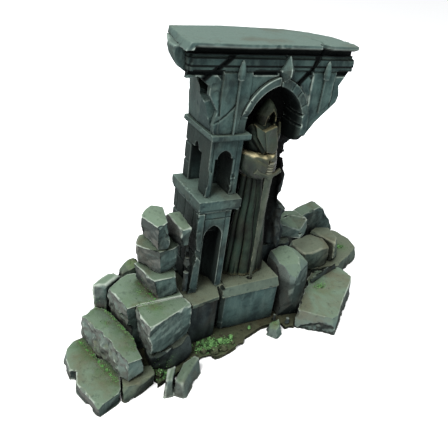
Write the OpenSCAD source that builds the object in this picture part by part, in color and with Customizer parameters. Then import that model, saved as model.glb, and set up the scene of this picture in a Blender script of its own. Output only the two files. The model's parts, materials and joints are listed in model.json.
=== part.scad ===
// Ruined wall with a niche statue, for tabletop games: a broken stair on the left, a two-stage tower,
// an arched upper wall under a flat deck slab, a hooded guardian on a pedestal and rubble on the right.
// The pieces stack on round spigots in sockets. X runs along the wall, Y to the back, Z up.

/* [Levels] */
// Thickness of the ground plate
ground_t = 1.8; // [1.2:0.2:2.4]
// Height of the top of the first slab of the stair
step_1_top = 4; // [3.6:0.2:5]
// Height of the top of the second step
step_2_top = 12.6; // [11:0.2:14]
// Height of the top of the third step
step_3_top = 21.3; // [20:0.1:22]
// Height of the ledge and of the pedestal's top
floor_top = 20.3; // [19:0.1:21]
// Height of the top of the two paving slabs
paving_top = 6; // [5:0.2:7]

/* [Tower] */
// Height of the lower stage
lower_stage_h = 29.8; // [26:0.2:34]
// Thickness of the lower cornice
lower_cornice_t = 4.3; // [3:0.1:6]
// Height of the upper stage
upper_stage_h = 18.6; // [16:0.2:22]
// Thickness of the upper cornice
upper_cornice_t = 2; // [1.6:0.1:3]

/* [Upper wall] */
// Height of the upper wall between cornice and deck slab
upper_wall_h = 24.6; // [24:0.2:26]
// Height of the frieze under the deck slab
frieze_h = 6; // [5:0.2:7]
// Thickness of the deck slab
slab_t = 2; // [1.6:0.1:3]
// Clear width of the arch
arch_w = 19.9; // [18:0.1:21]
// Height of the arch from its springing to its point
arch_rise = 12.4; // [11:0.1:13.6]
// Width of the arch moulding
arch_band = 2.4; // [1.6:0.1:3]

/* [Statue] */
// Half width of the robe at its hem
robe_r = 8.2; // [7:0.1:8.6]
// Height of the robe from the pedestal to the waist
robe_h = 39; // [37:0.5:40]
// Height of the folded sleeves across the waist
sleeve_h = 8.2; // [7:0.2:9]

/* [Joints] */
// Diameter of the spigots
peg_d = 3; // [2:0.1:3.6]
// Length of the spigots
peg_l = 2.4; // [1.6:0.1:3]
// Gap all round a spigot in its socket
peg_gap = 0.1; // [0.05:0.05:0.2]

/* [Hidden] */
$fn = 48;

STONE = "#5f7370";
STONE_DARK = "#454f4f";
STONE_WARM = "#6b6a58";
EARTH = "#4a4c3c";
MOSS = "#5fae4c";
STATUE = "#3c4a3c";

// Levels that follow from the driving heights
lower_cornice_z = floor_top + lower_stage_h;
upper_stage_z = lower_cornice_z + lower_cornice_t;
upper_cornice_z = upper_stage_z + upper_stage_h;
wall_z = upper_cornice_z + upper_cornice_t;
slab_z = wall_z + upper_wall_h;
frieze_z = slab_z - frieze_h;
cap_z = floor_top - 3.7;
ledge_z = floor_top - 1.5;
base_course_top = floor_top + 4;
waist_z = floor_top + robe_h;
band_z = waist_z + sleeve_h;
neck_z = band_z + 9;

// Planes along the depth
tower_y = 1;
wall_y = 3;
panel_y = 5;
niche_y = 13;
back_y = 22;

// Places along the wall, and the clearance between pieces that stand side by side
core_x = 8.4;
arch_x = 23.65;
arch_spring_z = wall_z + 1.9;
statue = [24.6, 7.9];
blade_foot = [24.5, 1.7];
centre = [29.8, 9.7, 0];
gap = 0.1;

// ---------- helpers ----------

// The part's own place: the middle of the footprint stands over the origin
module place() translate(-centre) children();

// An outline of [x, y] points raised to a height
function lift(outline, z) = [for (p = outline) [p.x, p.y, z]];

// A rough stone between two rings of as many points, both anticlockwise from above; peak is a point
// that the top faces rise or fall to
module stone(low, high, peak = undef) {
    n = len(low);
    top = is_undef(peak) ? [for (i = [1 : n - 2]) [n, n + i + 1, n + i]]
                         : [for (i = [0 : n - 1]) [2 * n, n + (i + 1) % n, n + i]];
    polyhedron(
        points = concat(low, high, is_undef(peak) ? [] : [peak]),
        faces = concat(
            [for (i = [1 : n - 2]) [0, i, i + 1]],
            top,
            [for (i = [0 : n - 1]) [i, n + i, n + (i + 1) % n]],
            [for (i = [0 : n - 1]) [i, n + (i + 1) % n, (i + 1) % n]]
        )
    );
}

// A small six-sided stone on a level
module chip(x, y, z, r, h, turn = 0, flat = 0.62) {
    function ring(k, level) =
        [for (a = [0 : 60 : 300]) [x + k * r * cos(a + turn), y + k * r * sin(a + turn), level]];
    stone(ring(1, z), ring(flat, z + h));
}

// A closed skin through rings of as many points, from the lowest to the highest
module loft(rings) {
    m = len(rings);
    n = len(rings[0]);
    polyhedron(
        points = [for (r = rings) for (p = r) p],
        faces = concat(
            [[for (i = [0 : n - 1]) i]],
            [[for (i = [n - 1 : -1 : 0]) (m - 1) * n + i]],
            [for (k = [0 : m - 2]) for (i = [0 : n - 1])
                [k * n + i, (k + 1) * n + i, (k + 1) * n + (i + 1) % n]],
            [for (k = [0 : m - 2]) for (i = [0 : n - 1])
                [k * n + i, (k + 1) * n + (i + 1) % n, k * n + (i + 1) % n]]
        )
    );
}

// A wall panel: an outline in X and Z, from the plane y0 to the plane y1
module panel(y0, y1) translate([0, y1, 0]) rotate([90, 0, 0]) linear_extrude(y1 - y0) children();

// A moulding along X: a profile in Y and Z, from x0 to x1
module run_x(x0, x1) translate([x0, 0, 0]) rotate([90, 0, 90]) linear_extrude(x1 - x0) children();

// A pointed arch, its sill's middle at the origin
module pointed(w, spring, rise) {
    r = (w * w / 4 + rise * rise) / w;
    translate([-w / 2, 0]) square([w, spring]);
    intersection() {
        translate([r - w / 2, spring]) circle(r, $fn = 96);
        translate([w / 2 - r, spring]) circle(r, $fn = 96);
        translate([-w, spring - 0.01]) square([2 * w, 2 * rise]);
    }
}

// Spigots that hang under a piece at each [x, y] on the joint plane z, rooted root deep in the piece
module spigots(spots, z, l = peg_l, root = 0.6)
    for (s = spots) translate([s.x, s.y, z - l]) cylinder(d = peg_d, h = l + root);

// The sockets for those spigots, in the piece below
module sockets(spots, z, l = peg_l)
    for (s = spots) translate([s.x, s.y, z - l - 0.2]) cylinder(d = peg_d + 2 * peg_gap, h = l + 1);

// Where the spigots of each joint stand
cap_pegs = [[18, 6], [31, 6]];
ledge_pegs = [[1.5, 14], [9, 17]];
stage_pegs = [[7, 15]];
upper_pegs = [[8.6, 17.8]];
core_pegs = [[13, 17.5]];
niche_pegs = [[18, 15], [34, 15]];
niche_top_pegs = [[22, 15.2]];
deck_pegs = [[14, 17.5], [38, 17.5]];
end_pegs = [[5.6, 18]];
robe_pegs = [statue];
step_2_pegs = [[-30, -2]];
footing_pegs = [[-10, -7]];
stub_pegs = [[-8.6, 5.6]];
short_peg = 1.2;

// ---------- ground ----------

module ground_base() color(EARTH) linear_extrude(ground_t) polygon([
    [-26.2, -11.6], [-17, -11.6], [-16.8, -18.2], [-13.8, -17], [-10.2, -16.4], [-8, -15.2], [-2, -12.8],
    [0.9, -11.8], [4.9, -11.4], [5.8, -13.4], [10.4, -13], [19, -10], [20.7, -8.2], [29.4, -5.2],
    [37, -5.2], [37.6, -8.6], [41.6, -8.8], [50.4, -1.6], [57.6, 6.2], [64.6, 14.2], [65, 15.2], [65, 40],
    [58, 41], [46, 32], [24, 26], [0, 25.4], [-8, 27], [-17, 27], [-24, 23.6], [-28.4, 17],
    [-29.8, 11.5], [-23.7, -1]
]);

pebbles = [
    [-14.8, -14.6, 1.9, 2.2], [3.1, -9.7, 1.7, 1.8], [6.4, -11.2, 2.1, 2], [10.2, -10.8, 1.8, 1.6],
    [14.4, -9.4, 1.3, 1.2], [0.9, 24, 1.5, 1.4], [31.5, 25.5, 1.8, 1.7], [53.6, 31.4, 2.2, 2],
    [57.5, 20.5, 2, 1.8]
];
module ground_pebbles() color(EARTH)
    for (p = pebbles) chip(p.x, p.y, ground_t, p[2], p[3], 20 * p.x);

clumps = [[7.2, -7.6, 1.6], [10.8, -7.5, 1.4], [15.2, -6.6, 1.2], [4.2, -6.6, 1.1], [24, -4.6, 0.9]];
module moss_clumps() color(MOSS)
    for (c = clumps) chip(c.x, c.y, ground_t, c[2], 1.2, 35 * c.x, 0.5);

// ---------- stair ----------

module step_slab_1() color(STONE) difference() {
    linear_extrude(step_1_top) polygon([
        [-36.6, -22.5], [-31, -20.4], [-28.7, -18.4], [-24.1, -1], [-30.1, 10.8], [-35.4, 8.2],
        [-37.2, 7.6], [-41, 2.8], [-41, -5.2], [-39.2, -5.8], [-40.4, -11]
    ]);
    sockets(step_2_pegs, step_1_top);
}

module step_footing_left() color(STONE_WARM) linear_extrude(step_1_top + 0.9)
    polygon([[-28.3, -18.7], [-27.8, -19.8], [-22.8, -18.2], [-17.2, -15.6], [-17.2, -11.8], [-26.4, -11.8]]);

module step_block_2() color(STONE) {
    stone(
        concat(
            lift([[-27.8, -17.6], [-20.4, -16], [-18.9, -8.6]], step_1_top + 1.5),
            lift([[-24, 10], [-28, 12.6], [-35.2, 8.2]], step_1_top)
        ),
        [[-26.4, -16, step_2_top], [-21.3, -14.9, step_2_top], [-20.6, -8, step_2_top],
         [-24.8, 9, step_2_top], [-28.4, 11.8, step_2_top], [-34.7, 8.6, step_2_top - 0.6]],
        [-27, -3, step_2_top]
    );
    spigots(step_2_pegs, step_1_top, root = 2);
}

module step_block_3_rear() color(STONE) stone(
    lift([[-27.8, 12.9], [-24.3, 11.2], [-19, 14.8], [-21.6, 17]], ground_t),
    [[-28.8, 12.6, step_3_top - 0.2], [-25.4, 10.6, step_3_top], [-19.2, 15, step_3_top],
     [-22.3, 16.8, step_3_top - 0.3]]
);

// What the middle block gives up to the second step beside it
step_2_side = [[-32, -3], [-20.4, -3], [-20.4, -1.6], [-23.7, 10.6], [-32, 10.6]];

module step_block_3_middle() color(STONE) difference() {
    stone(
        lift([[-21.2, -1.9], [-3.2, -1.9], [-3.2, 13.6], [-17.2, 14.8], [-23.8, 10.2]], ground_t),
        lift([[-23, -1.9], [-3.2, -1.9], [-3.2, 13.6], [-17.4, 15.1], [-24.6, 10.2]], step_3_top)
    );
    stone(
        lift(step_2_side, ground_t - 1), lift(step_2_side, step_2_top + 0.05)
    );
    sockets(stub_pegs, step_3_top);
}

module step_block_3_front() color(STONE) {
    stone(
        lift([[-18.4, -13.4], [-17.2, -13.8], [-2, -7.6], [-2.8, -2.2], [-18.4, -2.2]], 9.6),
        [[-19.6, -12.9, step_3_top], [-18.2, -13.8, step_3_top], [-2.5, -7.4, step_3_top],
         [-3.1, -2.2, step_3_top], [-20.4, -2.2, step_3_top]]
    );
    spigots(footing_pegs, 9.6);
}

module step_footing_front() color(STONE_DARK) difference() {
    stone(
        lift([[-16.6, -11.2], [-12.4, -13.2], [-8.6, -13.2], [-1.5, -10.6], [-1.9, -3.8], [-16.6, -3.8]],
             ground_t),
        [[-17.6, -13, 8.2], [-12, -12.6, 9.2], [-8.4, -10.8, 9.5], [-1.9, -8.4, 9.5], [-1.9, -3.8, 9.5],
         [-17.6, -3.8, 9.5]]
    );
    sockets(footing_pegs, 9.6);
}

module fallen_blocks_front() color(STONE) {
    stone(
        [[-13, -22.1, 0], [-10.3, -24.6, 0], [-1.4, -16.5, 0], [-2, -13.4, 0], [-8.6, -16.2, 0]],
        [[-12.2, -20.6, 4.4], [-10.9, -23, 4.5], [-1.4, -14.6, 4.8], [-2.4, -13.4, 4.9], [-7, -15.4, 4.9]],
        [-9, -20.2, 5.2]
    );
    stone(
        [[-16.2, -22.2, 0], [-13.6, -22.4, 0], [-10.4, -17.2, 0], [-13.6, -17.6, 0]],
        [[-15.3, -20.6, 5.2], [-13.6, -20.7, 5.2], [-11, -16.8, 6.8], [-13.2, -17.3, 6.8]]
    );
}

module loose_stone_front() color(STONE) stone(
    [[29.6, -8.2, 0], [32.2, -11.7, 0], [35.6, -9.8, 0], [36.2, -5.5, 0], [31.4, -5.6, 0]],
    [[30.8, -7.4, 3], [32.6, -9.9, 3], [34.9, -8.8, 4], [35.6, -6, 4.8], [32, -6.2, 4.4]]
);

module boulder_mossy_left() color(STONE_WARM) {
    stone(
        lift([[-17.6, 18], [-14.5, 16.6], [-8.6, 17], [-7.6, 23], [-14, 26], [-18, 23]], ground_t),
        [[-17, 18.6, 18.8], [-14.4, 17.6, 21], [-11.6, 18, 23.6], [-11.2, 21.6, 22.8],
         [-13.6, 23.4, 21], [-16.8, 22, 18.4]],
        [-13.6, 20, 23.2]
    );
    chip(-20.6, 20.2, ground_t, 2.4, 16, 10, 0.8);
}

// ---------- broken wall stub on the stair ----------

module wall_stub_bottom() color(STONE) difference() {
    union() {
        stone(
            lift([[-12.3, -1], [-4, -0.9], [-3.4, 12], [-14.8, 12]], step_3_top),
            [[-13.8, -0.9, 28.7], [-4.8, -0.6, 28.4], [-3.6, 12, 29.6], [-16.6, 9.8, 29.2]],
            [-8.6, 4, 29.6]
        );
        spigots(stub_pegs, step_3_top);
    }
    sockets(stub_pegs, 29.2);
}

module wall_stub_middle() color(STONE) difference() {
    union() {
        stone(
            lift([[-11.4, 1.4], [-4.4, 2.4], [-3.8, 12], [-14.4, 12], [-15.4, 9]], 29.7),
            [[-13.2, -0.8, 39], [-4.6, -0.4, 39], [-3.9, 12, 39.3], [-14.6, 11.6, 39], [-17.6, 7.8, 38]],
            [-8.6, 5.6, 39.4]
        );
        spigots(stub_pegs, 29.7);
    }
    sockets(stub_pegs, 39.1);
}

module wall_stub_top() color(STONE) {
    stone(
        lift([[-12.6, 0.2], [-8.2, -0.5], [-7.4, 5.6], [-8.4, 12], [-13.8, 12.4]], 39.5),
        [[-14, -3, 49], [-10.4, -1.8, 50.4], [-8.8, 7.2, 51], [-13.6, 9, 51], [-17.6, 4.8, 50]],
        [-12.8, 1, 51]
    );
    spigots(stub_pegs, 39.5);
}

module wall_stub_upright() color(STONE) stone(
    lift([[-6.4, -1], [-1.8, 0], [-1.4, 10], [-6.6, 10.4]], 39.6),
    [[-5.8, -1.6, 46.2], [-2.1, -0.4, 46.2], [-1.8, 9.4, 47], [-6.4, 9.8, 47]],
    [-4.2, 4, 47]
);

module wall_stub_chinking() color(STONE_DARK) {
    chip(-2, 0.4, 31.8, 1.7, 3.4, 15, 0.7);
    chip(-1.6, 2.2, 35.6, 1.5, 2.8, 40, 0.7);
    chip(-2.2, -0.4, step_3_top, 1.5, 8.6, 5, 0.8);
}

// ---------- plinth and pedestal ----------

module plinth_wall() color(STONE_DARK) difference() {
    translate([0, 0, ground_t]) linear_extrude(ledge_z - ground_t)
        polygon([
            [-1.2, -5], [9.6, -3.4], [11.3, -0.4], [11.3, 0.9], [13.2, 0.9], [13.2, 21], [-2.4, 21],
            [-2.4, -1.8]
        ]);
    sockets(ledge_pegs, floor_top);
}

module plinth_ledge() color(STONE_WARM) difference() {
    translate([0, 0, ledge_z]) linear_extrude(floor_top - ledge_z)
        polygon([[-1.4, -6.5], [9.2, -4.8], [11, 0.8], [13.6, 0.9], [13.6, 21], [-2.8, 21], [-2.8, -2]]);
    sockets(ledge_pegs, floor_top);
}

module pedestal_block() color(STONE) difference() {
    translate([0, 0, ground_t]) linear_extrude(cap_z - ground_t)
        polygon([[12.6, -0.2], [13.8, -1.6], [35.4, -1.6], [36, -0.8], [36, niche_y], [13.8, niche_y],
                 [13.8, 0.6], [12.6, 0.4]]);
    sockets(cap_pegs, cap_z);
}

module pedestal_cap() color(STONE) difference() {
    union() {
        stone(
            lift([[12.2, -2.4], [35.9, -2.1], [36.2, 12.9], [13.8, 12.9], [13.8, 0.8], [11.4, 0.7]], cap_z),
            lift([[12.4, -1.2], [35.4, -0.9], [35.4, 12.9], [13.8, 12.9], [13.8, 0.8], [11.6, 0.7]],
                 floor_top)
        );
        spigots(cap_pegs, cap_z);
    }
    sockets(robe_pegs, floor_top);
    translate([blade_foot.x, blade_foot.y, floor_top - short_peg]) cylinder(d = 2, h = 3);
}

module rear_base_course() color(STONE_DARK) difference() {
    translate([0, 0, ground_t]) linear_extrude(base_course_top - ground_t)
        polygon([[13.9, niche_y + 0.1], [50, niche_y + 1.2], [51.5, back_y], [13.9, back_y]]);
    sockets(niche_pegs, base_course_top);
}

// ---------- tower ----------

module tower_lower_stage() color(STONE) difference() {
    union() {
        translate([1, tower_y, floor_top]) cube([11.4, 20, lower_stage_h]);
        panel(0.1, tower_y + 1) polygon([
            [0.2, lower_cornice_z], [0.2, lower_cornice_z - 8.6], [1, lower_cornice_z - 13],
            [2.4, lower_cornice_z - 14], [2.6, lower_cornice_z]
        ]);
        panel(-0.4, tower_y + 1) polygon([
            [-0.6, floor_top], [2.4, floor_top], [2.6, floor_top + 12.6], [1.2, floor_top + 14.4],
            [0.4, floor_top + 13]
        ]);
        spigots(ledge_pegs, floor_top);
    }
    panel(-1, 5.4) translate([6.7, floor_top]) pointed(6.6, lower_stage_h - 9.9, 4.7);
    translate([6.7, 5.4, floor_top]) cylinder(r = 3.3, h = lower_stage_h - 9.9);
    sockets(stage_pegs, lower_cornice_z);
}

module tower_lower_cornice() color(STONE) difference() {
    union() {
        translate([0, 0, lower_cornice_z + 1]) cube([15, 21.6, lower_cornice_t - 1]);
        translate([0.4, 0.4, lower_cornice_z]) cube([14.2, 20.8, 1.1]);
        spigots(stage_pegs, lower_cornice_z);
    }
    sockets(upper_pegs, upper_stage_z);
}

module tower_upper_stage() color(STONE) difference() {
    union() {
        translate([3.2, 3.2, upper_stage_z]) cube([11, 17.6, upper_stage_h]);
        panel(2.8, 3.3) polygon([
            [2.9, upper_stage_z], [4.7, upper_stage_z], [4.7, upper_stage_z + 8], [3.6, upper_stage_z + 8.8]
        ]);
        spigots(upper_pegs, upper_stage_z);
    }
    panel(2, 12) translate([8.4, upper_stage_z]) pointed(6.2, 12.4, 2.7);
    translate([2, 0, 0]) rotate([90, 0, 90]) linear_extrude(6) translate([12.6, upper_stage_z])
        pointed(7.6, 12.6, 2.4);
    sockets(upper_pegs, upper_cornice_z);
}

module tower_upper_cornice() color(STONE) difference() {
    union() {
        translate([2.4, 1.6, upper_cornice_z + 0.4]) cube([13.4, 20.4, upper_cornice_t - 0.4]);
        translate([2.8, 2, upper_cornice_z]) cube([12.6, 19.6, 0.5]);
        spigots(upper_pegs, upper_cornice_z);
    }
    sockets(concat(core_pegs, end_pegs), wall_z, short_peg);
}

// ---------- upper wall ----------

// The opening of the arch, in X and Z, grown by a band
module arch_shape(band = 0) translate([arch_x, arch_spring_z - 14])
    pointed(arch_w + 2 * band, 14, arch_rise + 1.2 * band);

// The broken line of the wall's right end, in X and Z, from the deck down
right_break = [
    [48.6, slab_z], [49.2, frieze_z + 1.6], [48.8, frieze_z - 1.4], [46, frieze_z - 4.6],
    [46.9, frieze_z - 7.6], [46.4, frieze_z - 9.9], [39.6, wall_z + 2.2], [34.8, wall_z - 4.4]
];

// The crack through the wall, in X and Z, from the deck down to the arch
crack = [[37.6, slab_z], [33.8, frieze_z], [28.6, frieze_z - 7]];

// The outline of the keystone on the wall, in X and Z
keystone_shape = [
    [23.9, frieze_z - 2.9], [25.1, frieze_z - 2.9], [26.8, frieze_z + 0.3], [24.7, frieze_z + 4.6],
    [24.4, frieze_z + 4.6], [22.2, frieze_z + 0.3]
];
module keystone_seat() panel(0, 4.2) offset(delta = gap / 2) polygon(keystone_shape);

module wall_core_upper() color(STONE_DARK) difference() {
    union() {
        panel(niche_y, back_y) polygon([
            [core_x, wall_z], [38.4, wall_z], [44.6, wall_z + 7], [46, wall_z + 10.6], [45, wall_z + 14.6],
            [47.2, wall_z + 19], [47, slab_z], [core_x, slab_z]
        ]);
        difference() {
            panel(panel_y, niche_y + 0.1) polygon([
                [core_x, wall_z], [crack[2].x, wall_z], crack[2] - [gap, 0], crack[1] - [gap, 0],
                crack[0] - [gap, 0], [core_x, slab_z]
            ]);
            panel(0, niche_y) arch_shape(arch_band + gap);
        }
        spigots(core_pegs, wall_z, short_peg);
    }
    sockets(deck_pegs, slab_z);
    sockets(niche_top_pegs, wall_z + peg_l + 0.2);
}

module niche_back_wall() color(STONE_DARK) difference() {
    union() {
        panel(niche_y + gap, 18) polygon([
            [15.9, base_course_top], [44.4, base_course_top], [44.8, 30], [43.4, 36], [44, 39.6],
            [40, 44], [40.2, 49], [40.2, 54], [38.8, 58], [37.6, 61], [37.6, wall_z], [15.9, wall_z]
        ]);
        panel(10.8, niche_y + 1) polygon([
            [40.6, base_course_top], [43, base_course_top], [42.2, 31], [41.2, 36], [42, 40.6],
            [38.2, 45], [38.4, 50], [38.4, 55], [37.2, 59], [36, 62], [34.4, 62], [36.2, 55],
            [36.4, 47], [38.6, 40], [38, 34]
        ]);
        spigots(niche_pegs, base_course_top);
        translate([niche_top_pegs[0].x, niche_top_pegs[0].y, wall_z - 1]) cylinder(d = peg_d, h = 1 + peg_l);
    }
}

module spandrel_left() color(STONE) difference() {
    union() {
        panel(wall_y, panel_y - gap) polygon([
            [3.2, wall_z], [2.8, wall_z + 2.5], [3.6, wall_z + 6.9], [0.5, wall_z + 11.8],
            [0.5, wall_z + 14.1], [-2.2, frieze_z - 2.4], [-3.5, frieze_z - 1.6], [-7, frieze_z - 2.2],
            [-6.8, frieze_z], crack[1] - [gap, 0], crack[2] - [gap, 0], [crack[2].x, wall_z]
        ]);
        panel(wall_y - 0.4, wall_y + 0.2) polygon([
            [4.4, wall_z], [13.6, wall_z], [13.6, frieze_z - 0.6], [4.4, frieze_z - 0.6]
        ]);
    }
    panel(0, niche_y) arch_shape(arch_band + gap);
    keystone_seat();
}

module spandrel_right() color(STONE) difference() {
    union() {
        panel(wall_y, niche_y) polygon([
            right_break[2] + [0, 1.3], right_break[3], right_break[4], right_break[5], right_break[6],
            right_break[7], [34.6, wall_z], crack[2] + [0.6, -1], crack[2] + [gap, 0], crack[1] + [gap, 0],
            [right_break[1].x, frieze_z]
        ]);
        panel(wall_y - 0.4, wall_y + 0.2) polygon([
            [34.6, frieze_z - 0.6], [34.6, wall_z + 0.8], [43.8, wall_z + 9], [43.8, frieze_z - 0.6]
        ]);
    }
    panel(0, niche_y + 1) arch_shape(arch_band + gap);
}

module arch_half(side, foot_z) intersection() {
    difference() {
        panel(1.9, niche_y) arch_shape(arch_band);
        panel(0, niche_y + 1) arch_shape();
    }
    translate([side < 0 ? arch_x - 20 : arch_x + gap, 0, foot_z]) cube([20, 20, 30]);
}

module arch_moulding_left() color(STONE) difference() {
    arch_half(-1, wall_z);
    keystone_seat();
}

module arch_moulding_right() color(STONE) difference() {
    arch_half(1, wall_z - 4.6);
    keystone_seat();
}

// The frieze in Y and Z, with its back on the plane y1
module frieze_profile(y1) polygon([
    [y1, frieze_z], [2.3, frieze_z], [2.3, frieze_z + 1], [2.7, frieze_z + 1.1], [2, frieze_z + 1.5],
    [2, frieze_z + 3.7], [2.8, frieze_z + 4], [2.6, frieze_z + 4.6], [3.8, frieze_z + 4.7],
    [3.8, slab_z], [y1, slab_z]
]);

module frieze_left() color(STONE) difference() {
    intersection() {
        run_x(-8, 40) frieze_profile(panel_y - gap);
        panel(0, 20) polygon([[-6.8, frieze_z], crack[1] - [gap, 0], crack[0] - [gap, 0], [-7.4, slab_z]]);
    }
    keystone_seat();
}

module frieze_right() color(STONE) intersection() {
    run_x(32, 50) frieze_profile(niche_y - gap);
    panel(0, 20) polygon([
        crack[1] + [gap, 0], [right_break[1].x, frieze_z], right_break[1], right_break[0],
        crack[0] + [gap, 0]
    ]);
}

module top_slab() color(STONE) {
    translate([0, 0, slab_z]) linear_extrude(slab_t) polygon([
        [-7.2, 0.2], [10.4, -0.4], [20.9, 0.4], [34.6, 0.4], [36.4, 2.8], [37.4, 1.6], [39, 0.4],
        [48.4, 0.4], [49.9, 5.4], [48.4, 14.6], [43.2, 20.4], [35.3, 24], [12.4, 24.6], [-5.2, 21.6],
        [-6.2, 12]
    ]);
    spigots(deck_pegs, slab_z);
}

module keystone() color(STONE) {
    panel(1.5, 4.1) polygon(keystone_shape);
    hull() {
        panel(1.4, 1.6) polygon(keystone_shape);
        translate([24.45, -0.6, frieze_z - 0.8]) cube([0.1, 0.1, 2]);
    }
}

finial_x = [9.3, 39.3];
finial_h = 5.8;
finial_z = frieze_z - 2.3;
module pendant_finials() color(STONE) for (x = finial_x) intersection() {
    translate([x, 1.9, finial_z]) rotate_extrude() polygon([
        [0, 0], [1, 0], [1.25, finial_h * 0.3], [1.1, finial_h * 0.55], [0.6, finial_h * 0.85], [0, finial_h]
    ]);
    translate([x - 2, -1, finial_z - 1]) cube([4, 2.95, finial_h + 2]);
}

rod_foot = [wall_z, wall_z + 5.6];
module pendant_rods() color(STONE) for (i = [0, 1])
    translate([finial_x[i] + 0.1, wall_y - 0.85, rod_foot[i]])
        cylinder(r = 0.42, h = finial_z - rod_foot[i] - 0.05);

module wall_end_wedge() color(STONE_DARK) stone(
    lift([[-5, panel_y], [core_x - gap, panel_y], [core_x - gap, back_y], [1.4, back_y], [-3.2, 14]],
         frieze_z - 2.1),
    lift([[-7.2, panel_y], [core_x - gap, panel_y], [core_x - gap, back_y], [-5, 21], [-6.2, 12]], slab_z)
);

module wall_end_body() color(STONE_DARK) {
    top = frieze_z - 2.2;
    stone(
        lift([[3.4, panel_y], [core_x - gap, panel_y], [core_x - gap, 21.8], [3.6, 21.8], [3, 14]], wall_z),
        [[-0.8, panel_y, wall_z + 11.4], [core_x - gap, panel_y, wall_z + 11.8],
         [core_x - gap, 21.8, top], [2.2, 21.8, top], [0.6, 14, top - 0.4]],
        [4.6, 8.6, wall_z + 11.2]
    );
    spigots(end_pegs, wall_z, short_peg);
}

// ---------- statue ----------

// A ring of n points round the statue's axis, shifted by [dx, dy], with soft folds
function ring(z, rx, ry, dx = 0, dy = 0, fold = 0, n = 24) = [
    for (i = [0 : n - 1]) let (a = 360 * i / n, k = 1 + fold * cos(8 * a + 90))
        [statue.x + dx + k * rx * cos(a), statue.y + dy + k * ry * sin(a), z]
];

module statue_robe() color(STATUE) difference() {
    union() {
        loft([
            ring(floor_top, robe_r, 4.8, 0, 0, 0.05), ring(floor_top + 10, robe_r * 0.92, 4.7, 0, 0, 0.06),
            ring(floor_top + 24, robe_r * 0.8, 4.4, -0.3, 0, 0.05), ring(waist_z, robe_r * 0.72, 4, -0.6)
        ]);
        spigots(robe_pegs, floor_top);
    }
    sockets(robe_pegs, waist_z);
}

module statue_sleeves() color(STATUE) difference() {
    union() {
        loft([
            ring(waist_z, 6.9, 4.4, -1, -0.6), ring(waist_z + sleeve_h * 0.4, 7.4, 5, -0.9, -0.5),
            ring(band_z, 6.8, 4.6, -0.6, -0.4)
        ]);
        spigots(robe_pegs, waist_z);
    }
    sockets(robe_pegs, band_z);
    translate([20, -2, waist_z - 1]) cube([9, 4.7, sleeve_h + 2]);
}

module statue_torso() color(STATUE) difference() {
    union() {
        loft([
            ring(band_z, 5.6, 3.8), ring(band_z + 5, 6.4, 4), ring(band_z + 8, 5, 3.6),
            ring(neck_z, 2.7, 2.7, -0.4, -0.6)
        ]);
        spigots(robe_pegs, band_z);
    }
    translate([statue.x - 0.4, statue.y - 0.6, neck_z - 2]) cylinder(d = 2, h = 3);
    translate([14, 0, band_z - 1]) cube([16, 4.2, neck_z - band_z]);
}

module statue_collar() color(STATUE) {
    panel(2.8, 4.2) polygon([
        [21.7, band_z + 6.5], [25.6, band_z + 8], [26.2, band_z + 0.8], [24.8, band_z + 0.2], [23, band_z + 0.4]
    ]);
    panel(3, 4.2) polygon([
        [19.6, band_z + 6.6], [21.5, band_z + 6.4], [22.5, band_z + 1], [20.8, band_z + 1.6], [19.4, band_z + 4]
    ]);
}

// The hood is a pointed shell that opens to the front
hood_shift = [-0.4, -1.6];
module statue_hood() color(STATUE) difference() {
    loft([
        ring(neck_z + 0.1, 3.6, 3.6, hood_shift.x, -1), ring(neck_z + 3, 3.9, 3.8, hood_shift.x, -1.2),
        ring(neck_z + 5, 2.9, 3.2, hood_shift.x, hood_shift.y),
        ring(neck_z + 6.8, 1.4, 1.9, hood_shift.x - 0.2, -2), ring(neck_z + 7.8, 0.2, 0.3, -0.9, -2.2)
    ]);
    loft([
        ring(neck_z, 2.6, 2.9, hood_shift.x, -1.2), ring(neck_z + 3, 2.8, 3, hood_shift.x, -1.4),
        ring(neck_z + 4.6, 1.8, 2.4, hood_shift.x, -1.8), ring(neck_z + 5.8, 0.5, 1.2, hood_shift.x, -2)
    ]);
    translate([statue.x + hood_shift.x, statue.y - 6, neck_z]) rotate([90, 0, 0])
        linear_extrude(8, center = true) pointed(3.8, 1.6, 3.2);
}

module statue_head() color(STATUE) {
    loft([
        ring(neck_z + 0.1, 1.2, 1.3, hood_shift.x, -0.6), ring(neck_z + 1.6, 1.7, 1.9, hood_shift.x, -1),
        ring(neck_z + 3, 1.8, 2.1, hood_shift.x, -1), ring(neck_z + 4.4, 1, 1.3, hood_shift.x, -0.9)
    ]);
    translate([statue.x - 0.4, statue.y - 0.6, neck_z - 1.8]) cylinder(d = 1.8, h = 2.6);
}

module statue_hands() color(STATUE) difference() {
    stone(
        lift([[23.6, 0.6], [26.4, 0.4], [28, 1.2], [28, 2.7], [23.4, 2.7]], waist_z + 1.8),
        lift([[23.8, 1], [26, 0.8], [27.2, 1.4], [27.2, 2.7], [23.4, 2.7]], waist_z + 5.4)
    );
    translate([25.8, 1.5, waist_z + 1]) cylinder(d = 1.4, h = 2);
}

guard_r = 13;
module sword_guard() color(STATUE) {
    intersection() {
        panel(0.8, 2.2) translate([25.8, waist_z + 0.4 + guard_r]) difference() {
            circle(guard_r, $fn = 96);
            circle(guard_r - 1.1, $fn = 96);
        }
        translate([20.8, 0, waist_z]) cube([9.6, 3, 4]);
    }
    translate([25.8, 1.5, waist_z + 1]) cylinder(d = 1.2, h = 1.9);
}

module sword_blade() color(STATUE) stone(
    lift([blade_foot - [0.6, 0], blade_foot - [0, 0.5], blade_foot + [0.6, 0], blade_foot + [0, 0.5]],
         floor_top - 1),
    lift([[24.4, 1.5], [25.8, 0.9], [27.2, 1.5], [25.8, 2.1]], waist_z + 0.4)
);

// ---------- rubble on the right ----------

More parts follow.
